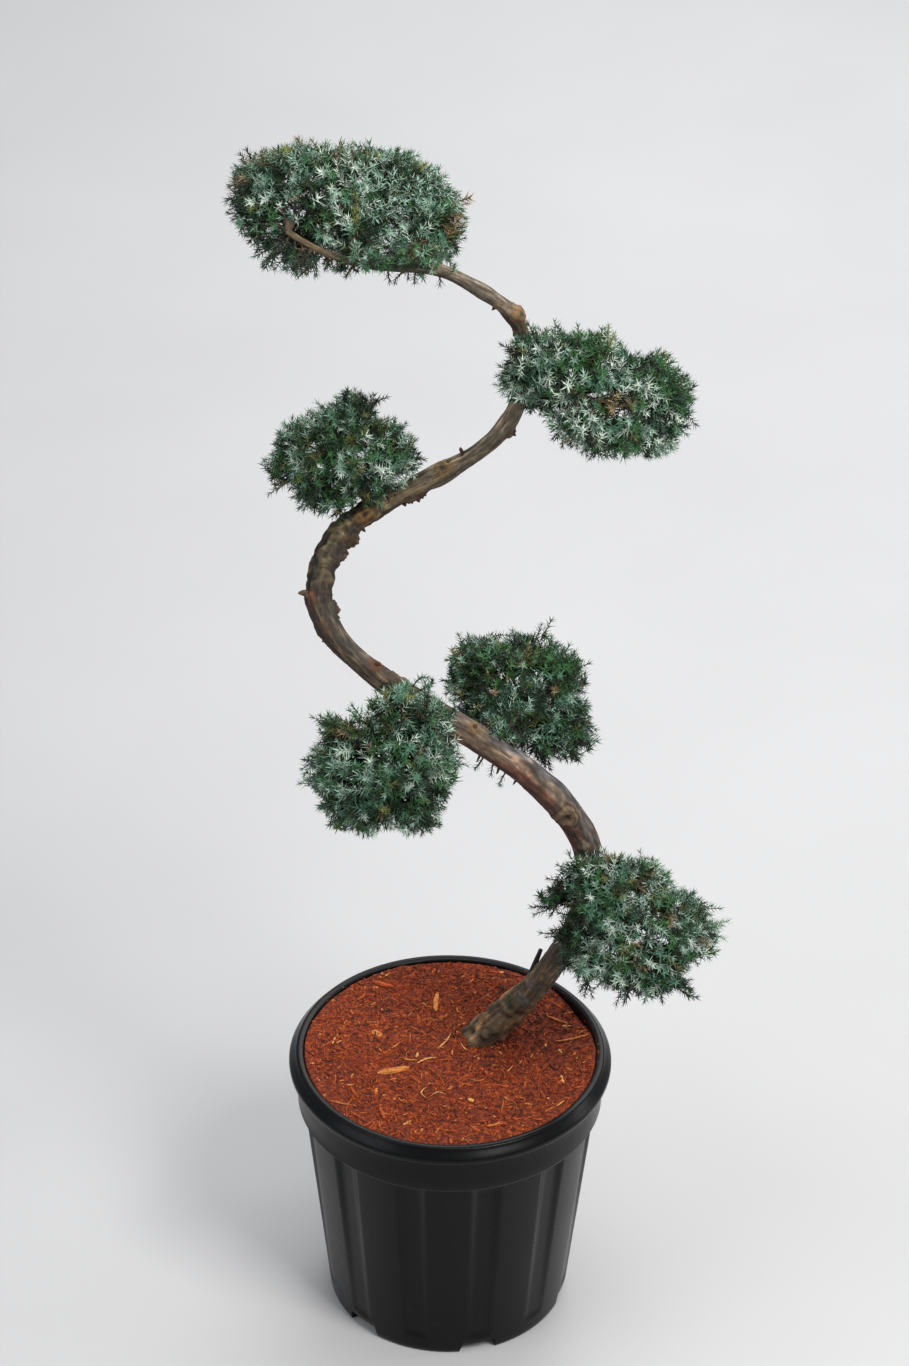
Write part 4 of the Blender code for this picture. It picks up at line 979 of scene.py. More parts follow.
def bark_stem(parts, marks):
    """The whole stem as one surface, cut level where it meets the mulch."""
    cols, step, join, rows_low = 52, 0.00180, 0.055, 32
    turn = np.arange(cols) * math.tau / cols
    # where each column of the surface meets the ground
    cut = MULCH_Z + GAP
    probe = np.linspace(-0.038, 0.045, 800)
    centre, u, v = stem.at(probe, "c"), stem.at(probe, "u"), stem.at(probe, "v")
    radius = stem.at(probe, "r")
    lowest = []
    for angle in turn:
        z = centre[:, 2] + radius * (math.cos(angle) * u[:, 2] + math.sin(angle) * v[:, 2])
        lowest.append(np.interp(cut, z, probe))
    lowest = np.array(lowest)
    share = (np.arange(rows_low) / rows_low)[:, None]
    s_low = lowest[None] + (join - lowest)[None] * share
    s_high = np.arange(join, stem.length, step)[:, None] + np.zeros((1, cols))
    s = np.concatenate([s_low, s_high])
    rows = len(s)
    turns = np.broadcast_to(turn, s.shape)
    flat_s, flat_turn = s.ravel(), turns.ravel()
    centre, u, v, t = (stem.at(flat_s, k) for k in "cuvt")
    radius = stem.at(flat_s, "r")
    out = np.cos(flat_turn)[:, None] * u + np.sin(flat_turn)[:, None] * v
    places = np.column_stack([np.cos(flat_turn) * 0.012, np.sin(flat_turn) * 0.012, flat_s])
    height, relief = bark_relief(places, flat_s, radius, stem_roughness(flat_s) * np.clip(radius / 0.009, 0.35, 1.1), 40)
    knots, eye, ring, ring_tint = knot_height(flat_s, flat_turn, radius, stem)
    height = height + knots
    # the root flare is uneven, in low buttresses
    flare = np.exp(-((np.maximum(flat_s, 0) / 0.030) ** 1.5))
    height += flare * (0.0018 * np.sin(flat_turn * 3 + 0.7) + 0.0013 * np.sin(flat_turn * 5 + 2.1))
    # the side away from the lean stands nearly upright at the ground
    leaned = smooth_step(out @ unit((-0.80, 0.0, 0.60)) * 1.2)
    height -= 0.0062 * leaned * np.exp(-((np.maximum(flat_s, 0) / 0.016) ** 1.5))
    points = centre + out * (radius + height)[:, None]
    low = points.reshape(rows, cols, 3)
    low[0, :, 2] = cut
    foot_ring.append(low[0].copy())
    index = np.arange(rows * cols).reshape(rows, cols)
    a, b = index[:-1], index[1:]
    quads = np.stack([a, np.roll(a, -1, 1), np.roll(b, -1, 1), b], -1).reshape(-1, 4)
    tip = stem.at(stem.length, "c") + stem.at(stem.length, "t") * 0.0012
    base = np.array([low[0, :, 0].mean(), low[0, :, 1].mean(), cut])
    points = np.concatenate([low.reshape(-1, 3), [tip, base]])
    last = rows * cols
    top = np.column_stack([index[-1], np.roll(index[-1], -1), np.full(cols, last)])
    under = np.column_stack([np.roll(index[0], -1), index[0], np.full(cols, last + 1)])
    parts.add(points, [quads, top, under], [0, 0, 0])
    tint = stem_tint(flat_s, flat_turn, radius, out, centre + out * 0.011, stem)
    tint += ring[:, None] * 0.65 * (ring_tint - tint)
    tint += eye[:, None] * 0.92 * (np.array((0.075, 0.052, 0.038)) - tint)
    tint = np.concatenate([tint, tint[-1:], tint[:1]])
    relief = np.concatenate([relief, [0.5, 0.5]])
    run = np.column_stack([np.cos(flat_turn) * radius, np.sin(flat_turn) * radius, flat_s * 0.12])
    run = np.concatenate([run, run[-1:], run[:1]])
    marks.append((tint, relief, run))


def bark_limb(parts, marks, limb, cols, step, seed, tint, rough=0.7, cap=0, end_look=0, wobble=0.0):
    """A bough, stub or peg with the bark's relief, capped flat or to a point."""
    rows = max(int(limb.length / step), 4) + 1
    s = np.linspace(0, limb.length, rows)[:, None] + np.zeros((1, cols))
    turn = np.broadcast_to(np.arange(cols) * math.tau / cols, s.shape)
    flat_s, flat_turn = s.ravel(), turn.ravel()
    centre, u, v = (limb.at(flat_s, k) for k in "cuv")
    radius = limb.at(flat_s, "r")
    out = np.cos(flat_turn)[:, None] * u + np.sin(flat_turn)[:, None] * v
    places = np.column_stack([np.cos(flat_turn) * radius, np.sin(flat_turn) * radius, flat_s])
    height, relief = bark_relief(places, flat_s, radius, rough * np.clip(radius / 0.009, 0.15, 1.0), seed)
    points = centre + out * (radius + height)[:, None]
    if wobble:
        points += wobble * np.column_stack([
            gradient_noise(points / 0.02, seed + k) for k in range(3)
        ]) * smooth_step(flat_s / 0.01)[:, None]
    index = np.arange(rows * cols).reshape(rows, cols)
    a, b = index[:-1], index[1:]
    quads = np.stack([a, np.roll(a, -1, 1), np.roll(b, -1, 1), b], -1).reshape(-1, 4)
    rings = points.reshape(rows, cols, 3)
    middle = [rings[-1].mean(0) + limb.t[-1] * (0.0004 if end_look else 0.0012), rings[0].mean(0)]
    points = np.concatenate([points, middle])
    last = rows * cols
    top = np.column_stack([index[-1], np.roll(index[-1], -1), np.full(cols, last)])
    under = np.column_stack([np.roll(index[0], -1), index[0], np.full(cols, last + 1)])
    parts.add(points, [quads, top, under], [cap, end_look if end_look else cap, cap])
    tints = np.array(tint) * (1 + 0.25 * layered_noise(points / 0.012, seed + 2, 2))[:, None]
    # painted shade: the underside of each bough, stub and peg turns towards a dark red-brown
    painted_underside_shade = smooth_step((-out[:, 2] - 0.1) / 0.8)
    painted_underside_shade = np.concatenate([painted_underside_shade, [0.0, 0.0]])
    tints += 0.5 * painted_underside_shade[:, None] * (np.array((0.30, 0.18, 0.12)) - tints)
    relief = np.concatenate([relief, [0.5, 0.5]])
    run = np.column_stack([np.cos(flat_turn) * radius, np.sin(flat_turn) * radius, flat_s * 0.12])
    run = np.concatenate([run, run[-1:], run[:1]]) + seed * 0.37
    marks.append((np.clip(tints, 0.02, 1), relief, run))


def build_bark():
    parts, marks = Parts(), []
    bark_stem(parts, marks)
    for k, name in enumerate(BOUGHS):
        bark_limb(parts, marks, limbs[name], 16, 0.0018, 60 + k, (0.32, 0.27, 0.205))
    bark_limb(parts, marks, limbs["stub_crossing"], 26, 0.0012, 71, (0.44, 0.32, 0.24), 1.0, 0, 1)
    bark_limb(parts, marks, limbs["stub_foot"], 16, 0.0012, 72, (0.15, 0.12, 0.10), 0.8)
    for k, (stretch, share, way, long, r0, r1, look) in enumerate(PEGS):
        s0 = along(stretch, share)
        centre, t = stem.at(s0, "c"), stem.at(s0, "t")
        way = unit(way)
        flat = unit(way - t * (way @ t))
        start = centre + flat * stem.at(s0, "r") * 0.55
        count = 9
        share_out = np.linspace(0, 1, count)
        reach = stem.at(s0, "r") * 0.45 + long
        path = start + way * (share_out * reach)[:, None]
        radii = r0 + (r1 - r0) * share_out
        radii[:3] += r0 * np.array((0.5, 0.3, 0.12))
        radii[-2:] *= (0.92, 0.66)
        tint = {"bark": (0.36, 0.28, 0.20), "dead": (0.19, 0.145, 0.105), "red": (0.40, 0.20, 0.13), "sawn": (0.66, 0.50, 0.36)}[look]
        bark_limb(parts, marks, Limb(path, radii), 11, 0.0009, 80 + k, tint, 1.6, 0, 1 if look == "sawn" else 0, 0.0035)
    points, faces, which = parts.arrays()
    looks = [bark_material("bark"), sawn_material()]
    piece = make_object("bark", points, faces, looks, which, smooth=True)
    tint, relief, run = (np.concatenate([m[i] for m in marks]) for i in range(3))
    low = tint <= 0.04045
    point_colour(piece, "tint", np.where(low, tint / 12.92, ((tint + 0.055) / 1.055) ** 2.4))
    point_value(piece, "relief", np.clip(relief, 0, 1))
    point_vector(piece, "run", run)
    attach(piece, "root")
    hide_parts(*STRETCHES, *BOUGHS, *STUBS)
    return parts.triangles()


# ---------------------------------------------------------------- foliage


def triangles_of(obj):
    mesh = obj.data
    mesh.calc_loop_triangles()
    points = np.empty(len(mesh.vertices) * 3, np.float32)
    mesh.vertices.foreach_get("co", points)
    corners = np.empty(len(mesh.loop_triangles) * 3, np.int32)
    mesh.loop_triangles.foreach_get("vertices", corners)
    return points.reshape(-1, 3).astype(float), corners.reshape(-1, 3)


def surface_points(obj, count, rng):
    points, faces = triangles_of(obj)
    a, b, c = (points[faces[:, i]] for i in range(3))
    cross = np.cross(b - a, c - a)
    size = np.linalg.norm(cross, axis=1)
    pick = rng.choice(len(faces), count, p=size / size.sum())
    x, y = rng.random((2, count, 1))
    flip = x + y > 1
    x, y = np.where(flip, 1 - x, x), np.where(flip, 1 - y, y)
    return a[pick] + x * (b[pick] - a[pick]) + y * (c[pick] - a[pick]), unit(cross[pick])


def far_from_limbs(points, room):
    """Distance to the nearest limb's bark, less room."""
    best = np.full(len(points), 9.0)
    for limb in [stem, *limbs.values()]:
        step = max(len(limb.c) // 260, 1)
        c, r = limb.c[::step], limb.r[::step]
        for k in range(0, len(points), 4000):
            d = np.linalg.norm(points[k : k + 4000, None] - c[None], axis=2) - r
            best[k : k + 4000] = np.minimum(best[k : k + 4000], d.min(1))
    return best - room


def keep_apart(points, gap):
    """Indices of points, first come first kept, none nearer than gap to another."""
    cells, kept = {}, []
    keys = np.floor(points / gap).astype(int)
    near = [(i, j, k) for i in (-1, 0, 1) for j in (-1, 0, 1) for k in (-1, 0, 1)]
    for n, (point, key) in enumerate(zip(points, keys)):
        key = tuple(key)
        clash = False
        for i, j, k in near:
            for other in cells.get((key[0] + i, key[1] + j, key[2] + k), ()):
                d = points[other] - point
                if d @ d < gap * gap:
                    clash = True
                    break
            if clash:
                break
        if not clash:
            cells.setdefault(key, []).append(n)
            kept.append(n)
    return np.array(kept)


def clusters(points, count, rng, rounds=10):
    count = max(min(count, len(points)), 1)
    centres = points[rng.choice(len(points), count, replace=False)].copy()
    for _ in range(rounds):
        own = ((points[:, None] - centres[None]) ** 2).sum(-1).argmin(1)
        for k in range(count):
            if (own == k).any():
                centres[k] = points[own == k].mean(0)
    return own, centres


def curve_points(a, b, c, d, t):
    """Cubic curves with (n, 3) controls at (n, m) or (m,) shares."""
    t = np.broadcast_to(np.asarray(t, float), (len(a), np.shape(t)[-1]))[..., None]
    w = 1 - t
    a, b, c, d = (x[:, None] for x in (a, b, c, d))
    place = a * w**3 + b * 3 * w * w * t + c * 3 * w * t * t + d * t**3
    way = (b - a) * 3 * w * w + (c - b) * 6 * w * t + (d - c) * 3 * t * t
    return place, unit(way)


def grow_needles(controls, start, whorls, tint, long, spread, rng):
    """Needles in whorls of three along the last part of each shoot.

    controls: four (n, 3) arrays; start: (n,) share where needles begin; whorls and
    tint: (n,) ints; long: (n,) needle length; spread: (n,) needle angle in radians.
    """
    n = len(start)
    count = whorls
    owner = np.repeat(np.arange(n), count)
    order = np.concatenate([np.arange(c) for c in count])
    ratio = (order + 0.5) / count[owner]
    t = start[owner] + (1 - start[owner]) * ratio
    a, b, c, d = (x[owner] for x in controls)
    place, way = curve_points(a, b, c, d, t[:, None])
    place, way = place[:, 0], way[:, 0]
    # three needles in each whorl, and a tuft that closes the tip
    tip_place, tip_way = controls[3], unit(controls[3] - controls[2])
    place = np.concatenate([np.repeat(place, 3, 0), np.repeat(tip_place, 4, 0)])
    way = np.concatenate([np.repeat(way, 3, 0), np.repeat(tip_way, 4, 0)])
    m = len(owner)
    first = rng.random(n) * math.tau
    turn = np.concatenate([
        np.repeat(first[owner] + order * (math.pi / 3), 3) + np.tile(np.arange(3) * math.tau / 3, m),
        np.repeat(first, 4) + np.tile(np.arange(4) * math.tau / 4, n),
    ])
    turn += rng.normal(0, 0.22, len(turn))
    open_ = spread[owner] * (1.10 - 0.30 * ratio**2.0)
    tilt = np.concatenate([np.repeat(open_, 3), rng.uniform(0.40, 0.78, n * 4)])
    tilt += rng.normal(0, 0.12, len(tilt))
    grown = long[owner] * (0.84 + 0.20 * np.sin(ratio * math.pi) - 0.06 * ratio)
    size = np.concatenate([np.repeat(grown, 3), np.repeat(long * 0.72, 4)])
    size *= rng.uniform(0.78, 1.16, len(size))
    whose = np.concatenate([np.repeat(owner, 3), np.repeat(np.arange(n), 4)])
    pick = unit(rng.normal(size=(n, 3)))[whose]
    u = unit(pick - (pick * way).sum(-1, keepdims=True) * way)
    v = np.cross(way, u)
    radial = np.cos(turn)[:, None] * u + np.sin(turn)[:, None] * v
    direction = unit(np.cos(tilt)[:, None] * way + np.sin(tilt)[:, None] * radial)
    face = unit(way - (way * direction).sum(-1, keepdims=True) * direction)
    side = np.cross(direction, face)
    wide = NEEDLE_WIDE * np.clip(size / NEEDLE_LONG, 0.6, 1.1)[:, None]
    base = place + radial * 0.0003
    points = np.stack([
        base - side * wide * 0.5 + face * wide * 0.16,
        base + side * wide * 0.5 + face * wide * 0.16,
        base - face * wide * 0.34,
        base + direction * size[:, None],
    ], 1)
    index = np.arange(len(points) * 4).reshape(-1, 4)
    faces = np.stack([index[:, [0, 1, 3]], index[:, [1, 2, 3]], index[:, [2, 0, 3]]], 1).reshape(-1, 3)
    older = np.array([TINT_NAMES.index(OLDER[x]) for x in TINT_NAMES])
    aged = np.concatenate([np.repeat(ratio < rng.uniform(0.15, 0.62, n)[owner], 3), np.zeros(n * 4, bool)])
    old_tint = older[tint]
    dry = rng.random(n)
    old_tint = np.where(dry < 0.10, TINT_NAMES.index("dead"), np.where(dry < 0.22, TINT_NAMES.index("olive"), old_tint))
    upper = np.where(aged, old_tint[whose], tint[whose]) * 2
    which = np.stack([upper, upper + 1, upper + 1], 1).reshape(-1)
    return points.reshape(-1, 3), faces, which


def deal_tints(name, tips, ways, deep, lift, rng):
    """A tint for each spray, by which way it faces, by place, and by chance, with dark tints dealt as painted shade to
    sprays that face down and to inner shoots.
    """
    n = len(tips)
    patch = layered_noise(tips / 0.030, 91, 2)
    up = ways[:, 2]
    lot = rng.random(n) + 0.55 * patch + lift
    lot -= 0.12 * np.clip(up, 0, 1)
    # painted shade: sprays that face down are dealt darker tints
    lot -= 0.30 * np.clip(-up - 0.25, 0, 1)
    tint = np.full(n, TINT_NAMES.index("dark"))
    tint[lot > 0.06] = TINT_NAMES.index("green")
    tint[lot > 0.34] = TINT_NAMES.index("teal")
    tint[lot > 0.60] = TINT_NAMES.index("blue")
    tint[lot > 0.88] = TINT_NAMES.index("silver")
    olive = (rng.random(n) < 0.03 + 0.08 * np.clip(up, 0, 1)) & (patch < 0.1)
    tint[olive] = TINT_NAMES.index("olive")
    tint[rng.random(n) < 0.009] = TINT_NAMES.index("dead")
    # painted shade: many sprays that hang underneath are dealt the dark tint
    tint[(up < -0.45) & (rng.random(n) < 0.45)] = TINT_NAMES.index("dark")
    centre = np.array(PADS[name]["centre"])
    for pad, x, z, radius, colour, share in TINTS:
        if pad == name:
            off = tips - centre
            near = np.hypot(off[:, 0] - x, off[:, 2] + 0.67 * off[:, 1] - z) < radius * 0.85
            near &= off @ np.array((0.0, -0.83, 0.56)) > -0.004
            dealt = share * (0.55 if colour in ("dead", "olive") else 0.85)
            tint[near & (rng.random(n) < dealt)] = TINT_NAMES.index(colour)
    # painted shade: inner shoots deep in the pad are dealt mostly dark and green tints
    inner = rng.random(n)
    tint = np.where(deep & (inner < 0.68), TINT_NAMES.index("dark"), tint)
    tint = np.where(deep & (inner > 0.68) & (inner < 0.88), TINT_NAMES.index("green"), tint)
    return tint


def build_pad(number, name, twigs, needle_looks):
    """Twigs and sprays of one pad, grown from its boughs out to its clipped surface."""
    facts = PADS[name]
    rng = np.random.default_rng(1300 + number)
    node_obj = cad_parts[name]
    centre = np.array(facts["centre"])

    # where shoots end: over the pad's surface, in clumps, thinner underneath
    points, normals = surface_points(node_obj, 20000, rng)
    free = far_from_limbs(points, 0.0045) > 0
    points, normals = points[free], normals[free]
    kept = keep_apart(points, SHOOT_GAP)
    tips = points[kept]
    smooth = []
    for tip in tips:
        near = ((points - tip) ** 2).sum(1) < 0.014**2
        smooth.append(unit(normals[near].mean(0)))
    smooth = np.array(smooth)
    thin = (smooth[:, 2] < -0.35) & (rng.random(len(tips)) < 0.20)
    for pad, x, z, radius in NOTCHED:
        if pad == name:
            off = tips - centre
            thin |= np.hypot(off[:, 0] - x, off[:, 2] + 0.67 * off[:, 1] - z) < radius
    tips, smooth = tips[~thin], smooth[~thin]
    outward = unit(tips - centre)
    lean = np.column_stack([gradient_noise(tips / 0.018, 130 + k) for k in range(3)])
    ways = unit(0.50 * smooth + 0.26 * outward + 0.85 * lean + rng.normal(0, 0.38, tips.shape) + (0, 0, 0.10))
    long = rng.uniform(0.0165, 0.0225, len(tips))
    clump = gradient_noise(tips / 0.015, 137)
    tips = tips - smooth * (0.0050 - 0.0105 * clump)[:, None] + smooth * rng.uniform(-0.0026, 0.0020, len(tips))[:, None]
    proud = rng.random(len(tips)) < 0.13
    tips[proud] += ways[proud] * rng.uniform(0.003, 0.008, proud.sum())[:, None]

    # shoots off the boughs inside the pad, so that the limbs are clothed
    inside = BVHTree.FromPolygons(*(x.tolist() for x in triangles_of(node_obj)))
    cover, cover_ways, cover_long = [], [], []
    for bough in facts["boughs"]:
        limb = limbs[bough]
        low = facts.get("cover", 0.45)
        for s_here in np.arange(limb.length * low, limb.length + 0.004, 0.0023):
            at, t_here, r_here = limb.at(s_here, "c"), limb.at(s_here, "t"), limb.at(s_here, "r")
            for _ in range(2):
                out = rng.normal(size=3)
                out = unit(out - t_here * (out @ t_here))
                heading = unit(out + 0.45 * t_here + rng.normal(0, 0.15, 3))
                length = rng.uniform(0.014, 0.024)
                tip = at + out * r_here + heading * length
                near, normal, _, away = inside.find_nearest(Vector(tip))
                beyond = (np.array(tip) - near) @ np.array(normal)
                if beyond > 0.004:
                    length -= min(beyond - 0.004, length * 0.45)
                    tip = at + out * r_here + heading * length
                cover.append(tip)
                cover_ways.append(heading)
                cover_long.append(length)
    is_cover = np.arange(len(tips) + len(cover)) >= len(tips)
    tips, ways = np.concatenate([tips, cover]), np.concatenate([ways, cover_ways])
    long = np.concatenate([long, cover_long])

    # shoots that stand out beyond the outline
    sprigs = np.array([(centre[0] + x * 0.975, centre[1], centre[2] + z * 0.975) for x, z in facts["sprigs"]])
    nearer = rng.uniform(-0.016, 0.012, len(sprigs))
    sprigs += np.column_stack([0 * nearer, nearer, -0.60 * nearer])
    way = sprigs - centre
    way[:, 1] *= 0.4
    sprig_ways = unit(unit(way) + rng.normal(0, 0.20, way.shape))
    sprig_long = rng.uniform(0.022, 0.027, len(sprigs))
    # each with two shorter companions
    for _ in range(2):
        count = len(facts["sprigs"])
        beside = rng.normal(0, 1, (count, 3))
        beside = unit(beside - (beside * sprig_ways[:count]).sum(1, keepdims=True) * sprig_ways[:count])
        back = rng.uniform(0.003, 0.009, count)[:, None]
        sprigs = np.concatenate([sprigs, sprigs[:count] + beside * rng.uniform(0.0035, 0.0060, count)[:, None] - sprig_ways[:count] * back])
        sprig_ways = np.concatenate([sprig_ways, unit(sprig_ways[:count] + 0.32 * beside)])
        sprig_long = np.concatenate([sprig_long, rng.uniform(0.016, 0.021, count)])
    tips = np.concatenate([tips, sprigs])
    ways = np.concatenate([ways, sprig_ways])
    long = np.concatenate([long, sprig_long])
    is_sprig = np.arange(len(tips)) >= len(tips) - len(sprigs)
    is_cover = np.concatenate([is_cover, np.zeros(len(sprigs), bool)])

    # drop shoots that would run through a limb
    probe = tips[:, None] - ways[:, None] * (long[:, None] * np.array((0.0, 0.3, 0.6)))[..., None]
    clear = (far_from_limbs(probe.reshape(-1, 3), 0.0022).reshape(-1, 3) > 0).all(1)
    clear |= is_sprig
    clear |= is_cover & (far_from_limbs(tips, 0.0040) > 0)
    clear &= ~in_bare(tips) & ~in_bare(tips - ways * long[:, None] * 0.5)
    for pad, x, z, radius in CLIPPED:
        if pad == name:
            off = tips - centre
            clear &= np.hypot(off[:, 0] - x, off[:, 2] + 0.67 * off[:, 1] - z) > radius
    tips, ways, long, is_sprig = tips[clear], ways[clear], long[clear], is_sprig[clear]
    bases = tips - ways * long[:, None]

    # the boughs branch to groups of shoots in three orders
    feed = []
    for bough in facts["boughs"]:
        limb = limbs[bough]
        for s in np.linspace(limb.length * 0.55, limb.length, 6):
            feed.append((limb.at(s, "c"), limb.at(s, "t")))
    for stretch, low, high in facts["stem"]:
        for share in np.linspace(low, high, 8):
            s = along(stretch, share)
            feed.append((stem.at(s, "c"), unit(centre - stem.at(s, "c"))))
    feed_at, feed_way = (np.array(x) for x in zip(*feed))

    own, middle = clusters(bases, len(bases) // 7, rng, 7)
    big, big_middle = clusters(middle, max(len(middle) // 7, 4), rng)
    cost = np.linalg.norm(big_middle[:, None] - feed_at[None], axis=2)
    source = cost.argmin(1)
    node_1 = feed_at[source] + 0.58 * (big_middle - feed_at[source])
    node_2 = middle - 0.30 * (middle - node_1[big])
    start_way = unit(feed_way[source] + unit(node_1 - feed_at[source]))

    t = np.linspace(0, 1, 7)
    reach = np.linalg.norm(node_1 - feed_at[source], axis=1)[:, None]
    bend = rng.normal(0, 0.10, (len(node_1), 3)) * reach
    controls = (feed_at[source], feed_at[source] + start_way * reach * 0.38, node_1 - unit(node_1 - feed_at[source]) * reach * 0.35 + bend, node_1)
    path_1, way_1 = curve_points(*controls, t)
    twigs.add(*thin_tubes(path_1, np.broadcast_to(np.linspace(0.0024, 0.0015, 7), path_1.shape[:2]), 5, 0, number))

    a, b = node_1[big], node_2
    reach = np.linalg.norm(b - a, axis=1)[:, None]
    controls = (a, a + way_1[big, -1] * reach * 0.35, b - unit(b - a) * reach * 0.3 + rng.normal(0, 0.08, b.shape) * reach, b)
    path_2, way_2 = curve_points(*controls, np.linspace(0, 1, 6))
    twigs.add(*thin_tubes(path_2, np.broadcast_to(np.linspace(0.0015, 0.0009, 6), path_2.shape[:2]), 4, 0, number + 10))

    # shoots: from the group's twig out to the tip, leafy over their last part
    a = node_2[own]
    reach = np.linalg.norm(bases - a, axis=1)[:, None]
    whole = reach[:, 0] + long
    curl = rng.normal(0, 0.10, tips.shape) * long[:, None]
    controls = (a, a + way_2[own, -1] * reach * 0.5, bases + ways * 0.25 * long[:, None] + curl, tips)
    t = np.array((0.0, 0.36, 0.70, 1.0))
    path_3, way_3 = curve_points(*controls, t)
    twigs.add(*thin_tubes(path_3, np.broadcast_to(0.00075 - 0.00045 * t, path_3.shape[:2]), 3, 0, number + 20))
    start = np.clip(1 - long / whole, 0.05, 0.85)
    whorls = np.maximum((long / WHORL_STEP).astype(int), 5)
    deep = np.zeros(len(tips), bool)
    tint = deal_tints(name, tips, ways, deep, facts["lift"], rng)
    needle = NEEDLE_LONG * rng.uniform(0.86, 1.10, len(tips))
    needle[is_sprig] *= 0.94
    spread = rng.uniform(0.92, 1.16, len(tips))
    grown = [grow_needles(controls, start, whorls, tint, needle, spread, rng)]

    # short inner shoots off the twigs, which fill the shade, dealt dark tints as painted shade
    pick = rng.integers(0, len(tips), int(len(tips) * 0.62))
    at = rng.uniform(0.05, 0.60, len(pick))
    place, way = curve_points(*(c[pick] for c in controls), at[:, None])
    place, way = place[:, 0], way[:, 0]
    second = rng.integers(0, len(path_2), len(tips) // 6)
    spot = rng.integers(1, 6, len(second))
    place = np.concatenate([place, path_2[second, spot]])
    way = np.concatenate([way, way_2[second, spot]])
    side = unit(rng.normal(size=place.shape))
    side = unit(side - (side * way).sum(-1, keepdims=True) * way)
    go = unit(0.65 * way + 0.75 * side + 0.35 * unit(place - centre))
    size = rng.uniform(0.010, 0.016, len(place))
    ends = place + go * size[:, None]
    fine = (far_from_limbs(ends, 0.0030) > 0) & ~in_bare(ends)
    place, way, go, size, ends = place[fine], way[fine], go[fine], size[fine], ends[fine]
    inner = (place, place + way * size[:, None] * 0.25, place + go * size[:, None] * 0.6, ends)
    path_4, _ = curve_points(*inner, np.linspace(0, 1, 3))
    twigs.add(*thin_tubes(path_4, np.broadcast_to(np.linspace(0.00060, 0.00030, 3), path_4.shape[:2]), 3, 0, number + 30))
    tint = deal_tints(name, ends, go, np.ones(len(ends), bool), facts["lift"], rng)
    grown.append(grow_needles(
        inner, np.full(len(ends), 0.15), np.maximum((size * 0.9 / WHORL_STEP).astype(int), 3), tint,
        NEEDLE_LONG * rng.uniform(0.80, 1.0, len(ends)), rng.uniform(0.85, 1.10, len(ends)), rng,
    ))

    # side shoots straight off the stem, and thickets of them
    starts, goes, sizes = [], [], []
    for stretch, share, heading, length in SIDE_SHOOTS:
        if nearest_pad(stretch, share) != name:
            continue
        s = along(stretch, share)
        heading = unit(heading)
        t_here = stem.at(s, "t")
        flat = unit(heading - t_here * (heading @ t_here))
        starts.append(stem.at(s, "c") + flat * stem.at(s, "r") * 0.9)
        goes.append(heading)
        sizes.append(length)
    for stretch, (low, high), heading, stray, (short, full), count in THICKETS:
        if nearest_pad(stretch, (low + high) / 2) != name:
            continue
        for share in low + (high - low) * rng.random(count):
            s = along(stretch, share)
            t_here = stem.at(s, "t")
            go = unit(unit(heading) + rng.normal(0, stray, 3))
            flat = unit(go - t_here * (go @ t_here))
            starts.append(stem.at(s, "c") + flat * stem.at(s, "r") * 0.8 + t_here * rng.uniform(-0.002, 0.002))
            goes.append(go)
            sizes.append(rng.uniform(short, full) * (0.55 + 0.45 * (share - low) / (high - low)))
    if starts:
        starts, goes, sizes = np.array(starts), np.array(goes), np.array(sizes)[:, None]
        bend = rng.normal(0, 0.16, starts.shape) * sizes
        side = (starts, starts + goes * sizes * 0.3 + bend, starts + goes * sizes * 0.7 + bend, starts + goes * sizes)
        path_5, _ = curve_points(*side, np.linspace(0, 1, 4))
        twigs.add(*thin_tubes(path_5, np.broadcast_to(np.linspace(0.0009, 0.00035, 4), path_5.shape[:2]), 4, 0, number + 40))
        tint = rng.choice([TINT_NAMES.index(x) for x in ("dark", "dark", "green", "green", "teal", "blue")], len(starts))
        grown.append(grow_needles(
            side, np.full(len(starts), 0.14), np.maximum((sizes[:, 0] * 0.86 / WHORL_STEP).astype(int), 4), tint,
            np.full(len(starts), NEEDLE_LONG * 0.80), rng.uniform(0.85, 1.10, len(starts)), rng,
        ))

    points, faces, which, count = [], [], [], 0
    for p, f, w in grown:
        points.append(p)
        faces.append(f + count)
        which.append(w)
        count += len(p)
    points, faces, which = (np.concatenate(x) for x in (points, faces, which))
    made = []
    parts = -(-len(faces) // 195000)
    plants = len(faces) // 3
    for part in range(parts):
        low, high = plants * part // parts, plants * (part + 1) // parts
        label = f"needles_{name[4:]}" + (f"_{part + 1}" if parts > 1 else "")
        piece = make_object(
            label, points[low * 4 : high * 4], [faces[low * 3 : high * 3] - low * 4], needle_looks,
            [which[low * 3 : high * 3]],
        )
        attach(piece, "root")
        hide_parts(name)
        made.append(piece)
    return len(faces), len(tips)


def in_bare(points):
    """Which points lie in front of a stretch that is kept bare."""
    found = np.zeros(len(points), bool)
    for stretch, (low, high), way, half in BARE:
        way = unit(way)
        path = stem.at(np.linspace(along(stretch, low), along(stretch, high) + 0.004, 24), "c")
        off = points[:, None] - path[None]
        ahead = off @ way
        aside = np.linalg.norm(off - ahead[..., None] * way, axis=2)
        found |= ((ahead > 0.001) & (ahead < 0.07) & (aside < half)).any(1)
    return found


def nearest_pad(stretch, share):
    place = stem.at(along(stretch, share), "c")
    return min(PADS, key=lambda pad: np.linalg.norm(np.array(PADS[pad]["centre"]) - place))


